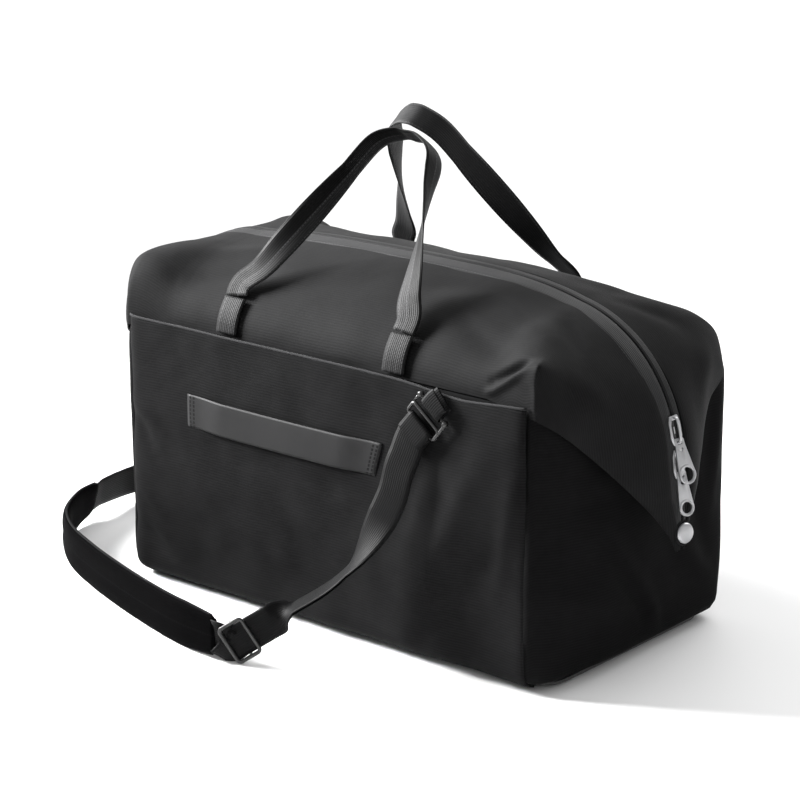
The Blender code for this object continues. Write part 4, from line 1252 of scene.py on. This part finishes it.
def build_hooks(black, webbing):
    for end in (1, -1):
        label = LABEL[end]
        place = hook_place(end)
        half_x = SLOT_LENGTH / 2 + BAR / 2
        pitch = BAR + SLOT_HEIGHT
        slot_loop = rounded_loop(half_x, -0.0002, pitch, 0.0028)
        corner = (half_x - 0.001, -pitch, 0)
        right_side = smooth_path([(half_x, 0.001, 0), (half_x, -pitch / 2, 0), corner], 12)
        low_bar = smooth_path([corner, (0, -pitch - 0.0004, 0), (-half_x + 0.0005, -pitch, 0)], 24)
        parts = [
            tube("upper", slot_loop, BAR / 2, black, loop=True, flat=1.12),
            tube("side", right_side, BAR / 2, black),
            tube("bar", low_bar, BAR / 2, black),
        ]
        for x, y in ((half_x - 0.001, -pitch), (-half_x + 0.0008, -pitch)):
            parts.append(lathe("knob", KNOB, Matrix.Translation((x, y, 0)), black, 20))
        hook = joined(f"hook_ring_{label}", parts)
        hook.data.transform(place)
        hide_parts(f"hook_{label}")
        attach(hook, "body")
        x = -SLOT_LENGTH / 2 - BAR + 0.0013
        wire = [(x, -pitch + 0.0026, 0), (x, -pitch / 2, 0), (x, -0.0022, 0)]
        gate = tube("gate", wire, 0.0012, black, steps=12)
        gate.name = f"hook_spring_gate_{label}"
        gate.data.transform(place)
        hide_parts(f"hook_gate_{label}")
        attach(gate, f"{label}_gate")
        build_tab(label, place, webbing)


def build_tab(label, place, webbing):
    bar_y = -BAR - SLOT_HEIGHT
    radius = HOOK_PLATE / 2 + 0.0010 + STRAP_THICK / 2
    keys = [(0.001, bar_y - 0.0145, radius - 0.0004), (0, bar_y - 0.008, radius)]
    for i in range(9):
        a = math.pi * i / 8
        keys.append((0, bar_y + radius * math.sin(a), radius * math.cos(a)))
    keys += [(0, bar_y - 0.008, -radius), (0.001, bar_y - 0.0145, -radius + 0.0004)]
    path = smooth_path(keys, 60)
    sides = np.tile((1.0, 0, 0), (60, 1))
    loop = ribbon(f"strap_tab_webbing_{label}", path, sides, 0.024, STRAP_THICK, webbing)
    loop.data.transform(place)
    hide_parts(f"strap_tab_{label}")
    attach(loop, "body")


def build_strap(webbing, black, pad_cloth, piping):
    place = hook_place(1)
    start = place @ Vector((0, BAR + SLOT_HEIGHT + HOOK_PLATE / 2 + 0.0014, 0))
    keys = [
        start,
        start + HOOK_DOWN * 0.012,
        start + HOOK_DOWN * 0.020 + Vector((0.001, -0.004, -0.010)),
        (0.1100, -0.1560, 0.1850),
        (0.1050, -0.1600, 0.1600),
        (0.0930, -0.1670, 0.1300),
        (0.0760, -0.1780, 0.0960),
        (0.0580, -0.1890, 0.0740),
        GLIDE_CENTRE + GLIDE_ALONG * 0.060,
        GLIDE_CENTRE + GLIDE_ALONG * 0.045,
        GLIDE_CENTRE + GLIDE_ALONG * 0.030,
        GLIDE_CENTRE + GLIDE_ALONG * 0.015,
        GLIDE_CENTRE,
        GLIDE_CENTRE - GLIDE_ALONG * 0.012,
        (-0.0205, -0.2505, 0.0236),
        (-0.0300, -0.2510, 0.0238),
    ]
    count = 150
    path = smooth_path([tuple(k) for k in keys], count)
    bar = place.to_3x3() @ Vector((1, 0, 0))
    at_glide = np.linalg.norm(path - np.array(GLIDE_CENTRE), axis=-1).argmin() / (count - 1)
    length = np.linalg.norm(np.diff(path, axis=0), axis=-1).sum()
    flat_from = at_glide - 0.036 / length
    turns = [(0, bar), (0.30, bar), (0.50, STRAP_TURN), (flat_from - 0.07, STRAP_TURN)]
    turns += [(flat_from, GLIDE_ACROSS), (at_glide + 0.05, GLIDE_ACROSS), (1, (0.02, 0.05, -1))]
    sides = turned(turns, count)
    out = np.cross(unit(np.gradient(path, axis=0)), sides)
    upper = ribbon("strap_upper", path + out * 0.0010, sides, STRAP_WIDTH, STRAP_THICK, webbing)
    doubled = slice(0, 128)
    low_path = (path - out * 0.0010)[doubled]
    under = ribbon("strap_under", low_path, sides[doubled], STRAP_WIDTH * 0.985, STRAP_THICK, webbing)
    bar_y, turn = BAR + SLOT_HEIGHT, 0.0031
    fold_keys = [(0, bar_y + 0.027, turn + 0.0016), (0, bar_y + 0.016, turn + 0.0010)]
    fold_keys.append((0, bar_y + 0.006, turn + 0.0002))
    fold_keys += [(0, bar_y - turn * math.sin(a), turn * math.cos(a)) for a in np.linspace(0, math.pi, 9)]
    fold_keys += [(0, bar_y + 0.006, -turn - 0.0002), (0, bar_y + 0.016, -turn - 0.0010)]
    wrap = smooth_path([tuple(place @ Vector(k)) for k in fold_keys], 60)
    wrap_sides = np.tile(tuple(bar), (60, 1))
    wrapped = ribbon("strap_fold", wrap, wrap_sides, STRAP_WIDTH * 0.97, STRAP_THICK, webbing)
    front = joined("strap_front_webbing", [upper, under, wrapped])
    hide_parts("strap_front")
    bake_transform(front)

    place = frame_at(GLIDE_CENTRE, GLIDE_ALONG, GLIDE_ACROSS)
    room = STRAP_WIDTH / 2 + 0.0010
    ring = rounded_loop(0.0118, -room - 0.0013, room + 0.0013, 0.0035)
    parts = [tube("ring", [(x, y, -0.0036) for x, y, _ in ring], 0.0019, black, loop=True, flat=0.8)]
    half_bar = [(0, room + 0.0013, -0.0036), (0, room + 0.0010, 0.0022)]
    half_bar += [(0, room - 0.003, 0.0036), (0, 0, 0.0038)]
    centre_bar = half_bar + [(x, -y, z) for x, y, z in half_bar[-2::-1]]
    parts.append(tube("bar", smooth_path(centre_bar, 40), 0.0015, black))
    glide = joined("tri_glide_frame", parts)
    glide.data.transform(place)
    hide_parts("tri_glide")
    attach(glide, "glide")

    pad_path, pad_up, pad_out = pad_route()
    build_pad(pad_path, pad_up, pad_out, pad_cloth, piping)
    build_rear(pad_path, webbing)


def pad_route(count=90):
    keys = [
        (-0.0250, -0.2515, 0.0240),
        (-0.0800, -0.2440, 0.0234),
        (-0.1350, -0.2300, 0.0232),
        (-0.1900, -0.2130, 0.0232),
        (-0.2450, -0.1930, 0.0232),
        (-0.3000, -0.1680, 0.0232),
        (-0.3450, -0.1330, 0.0235),
        (-0.3750, -0.0900, 0.0240),
        (-0.3870, -0.0550, 0.0255),
    ]
    path = smooth_path(keys, count)
    along = unit(np.gradient(path, axis=0))
    tilt = np.clip(np.linspace(0, 1, count) - 0.75, 0, 1) / 0.25
    up = np.stack([0.30 * tilt, 0 * tilt, np.ones(count)], -1)
    up = unit(up - along * (up * along).sum(-1, keepdims=True))
    return path, up, np.cross(along, up)


def build_pad(path, up, out, cloth, piping):
    """The shoulder pad: a quilted sleeve with piped edges."""
    count = len(path)
    share = np.minimum(np.arange(count), count - 1 - np.arange(count)) / 9
    half_w = 0.0215 * (0.78 + 0.22 * np.sqrt(np.clip(share, 0, 1)))
    half_t = 0.0046 * (0.55 + 0.45 * np.sqrt(np.clip(share, 0, 1)))
    steps = 36
    verts, uvs = [], []
    length = distance_along(path)
    for i in range(count):
        for k in range(steps):
            a = 2 * math.pi * k / steps
            c, s = math.cos(a), math.sin(a)
            w = math.copysign(abs(c) ** 0.55, c)
            t = math.copysign(abs(s) ** 0.75, s)
            quilt = 1 - 0.16 * math.exp(-((w * half_w[i] / 0.0022) ** 2))
            verts.append(path[i] + up[i] * (w * half_w[i]) + out[i] * (t * half_t[i] * quilt))
            uvs.append((length[i], w * half_w[i]))
    body = make_object("pad_body", verts, ring_faces(count, steps), uvs, cloth)
    parts = [body]
    for sign in (1, -1):
        edge = path + up * (sign * (half_w[:, None] + 0.0002))
        parts.append(tube("piping", edge[1:-1], 0.0012, piping, steps=8))
    pad = joined("shoulder_pad_sleeve", parts)
    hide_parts("shoulder_pad")
    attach(pad, "strap")


def build_rear(pad_path, webbing):
    place = hook_place(-1)
    hook_end = place @ Vector((0, BAR + SLOT_HEIGHT + HOOK_PLATE / 2 + 0.0014, 0))
    tail = Vector(pad_path[-1])
    along = (tail - Vector(pad_path[-3])).normalized()
    keys = [
        tail - along * 0.012,
        tail + along * 0.004,
        tail + along * 0.020,
        (-0.4010, 0.0150, 0.0240),
        (-0.3850, 0.0700, 0.0280),
        (-0.3400, 0.1250, 0.0400),
        (-0.2850, 0.1680, 0.0750),
        (-0.2150, 0.1790, 0.1250),
        hook_end + Vector((-0.028, 0.0130, -0.034)),
        hook_end + Vector((-0.012, 0.0040, -0.0147)),
        hook_end,
    ]
    count = 110
    path = smooth_path([tuple(k) for k in keys], count)
    bar = place.to_3x3() @ Vector((1, 0, 0))
    sides = turned(((0, (0.25, 0, 1)), (0.25, (0, 0, 1)), (0.45, (0.1, 0, 1)), (0.8, -bar), (1, -bar)), count)
    rear = ribbon("strap_rear_webbing", path, sides, STRAP_WIDTH, 0.0018, webbing)
    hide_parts("strap_rear")
    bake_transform(rear)


def build_all():
    place_camera()
    light_scene()
    build_floor()
    build_roof()
    build_walls()
    build_pocket()
    build_band()
    build_lining()
    build_handles()
    black = metal_shader("black_gloss", (0.004, 0.004, 0.0041), 0.38, metal=0.0, coat=0.12)
    silver = metal_shader("cast_silver", (0.42, 0.42, 0.43), 0.42)
    # Each slider's under plate takes the black material as painted shade.
    build_slider("zip_slider_top", "zip_slider_upper", "slider", 0.222, silver, black)
    build_slider("zip_slider_bottom", "zip_slider_lower", "body", 0.193, silver, black)
    build_pull("zip_pull_top", "zip_pull_upper", "upper_pull", 0.222, 5.5, silver, 0.0064, 0.0088)
    build_pull("zip_pull_bottom", "zip_pull_lower", "lower_pull", 0.193, 7.0, silver, 0.0052, 0.0078)
    build_snaps(silver)
    webbing = webbing_shader("strap_webbing", (0.0016, 0.0016, 0.0017), (0.0060, 0.0060, 0.0062), sheen=0.08)
    pad_dark, pad_light = (0.0006, 0.0006, 0.0007), (0.0022, 0.0022, 0.0023)
    pad_cloth = cloth_shader("pad_cloth", pad_dark, pad_light, seams=(0.0,), gloss=0.2)
    piping = cloth_shader("piping_cloth", (0.005, 0.005, 0.0052), (0.011, 0.011, 0.0113))
    build_hooks(black, webbing)
    build_strap(webbing, black, pad_cloth, piping)
    board = metal_shader("board_plastic", (0.03, 0.03, 0.03), 0.6, metal=0.0)
    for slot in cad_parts["base_board"].material_slots:
        slot.material = board


build_all()
bpy.context.view_layer.update()
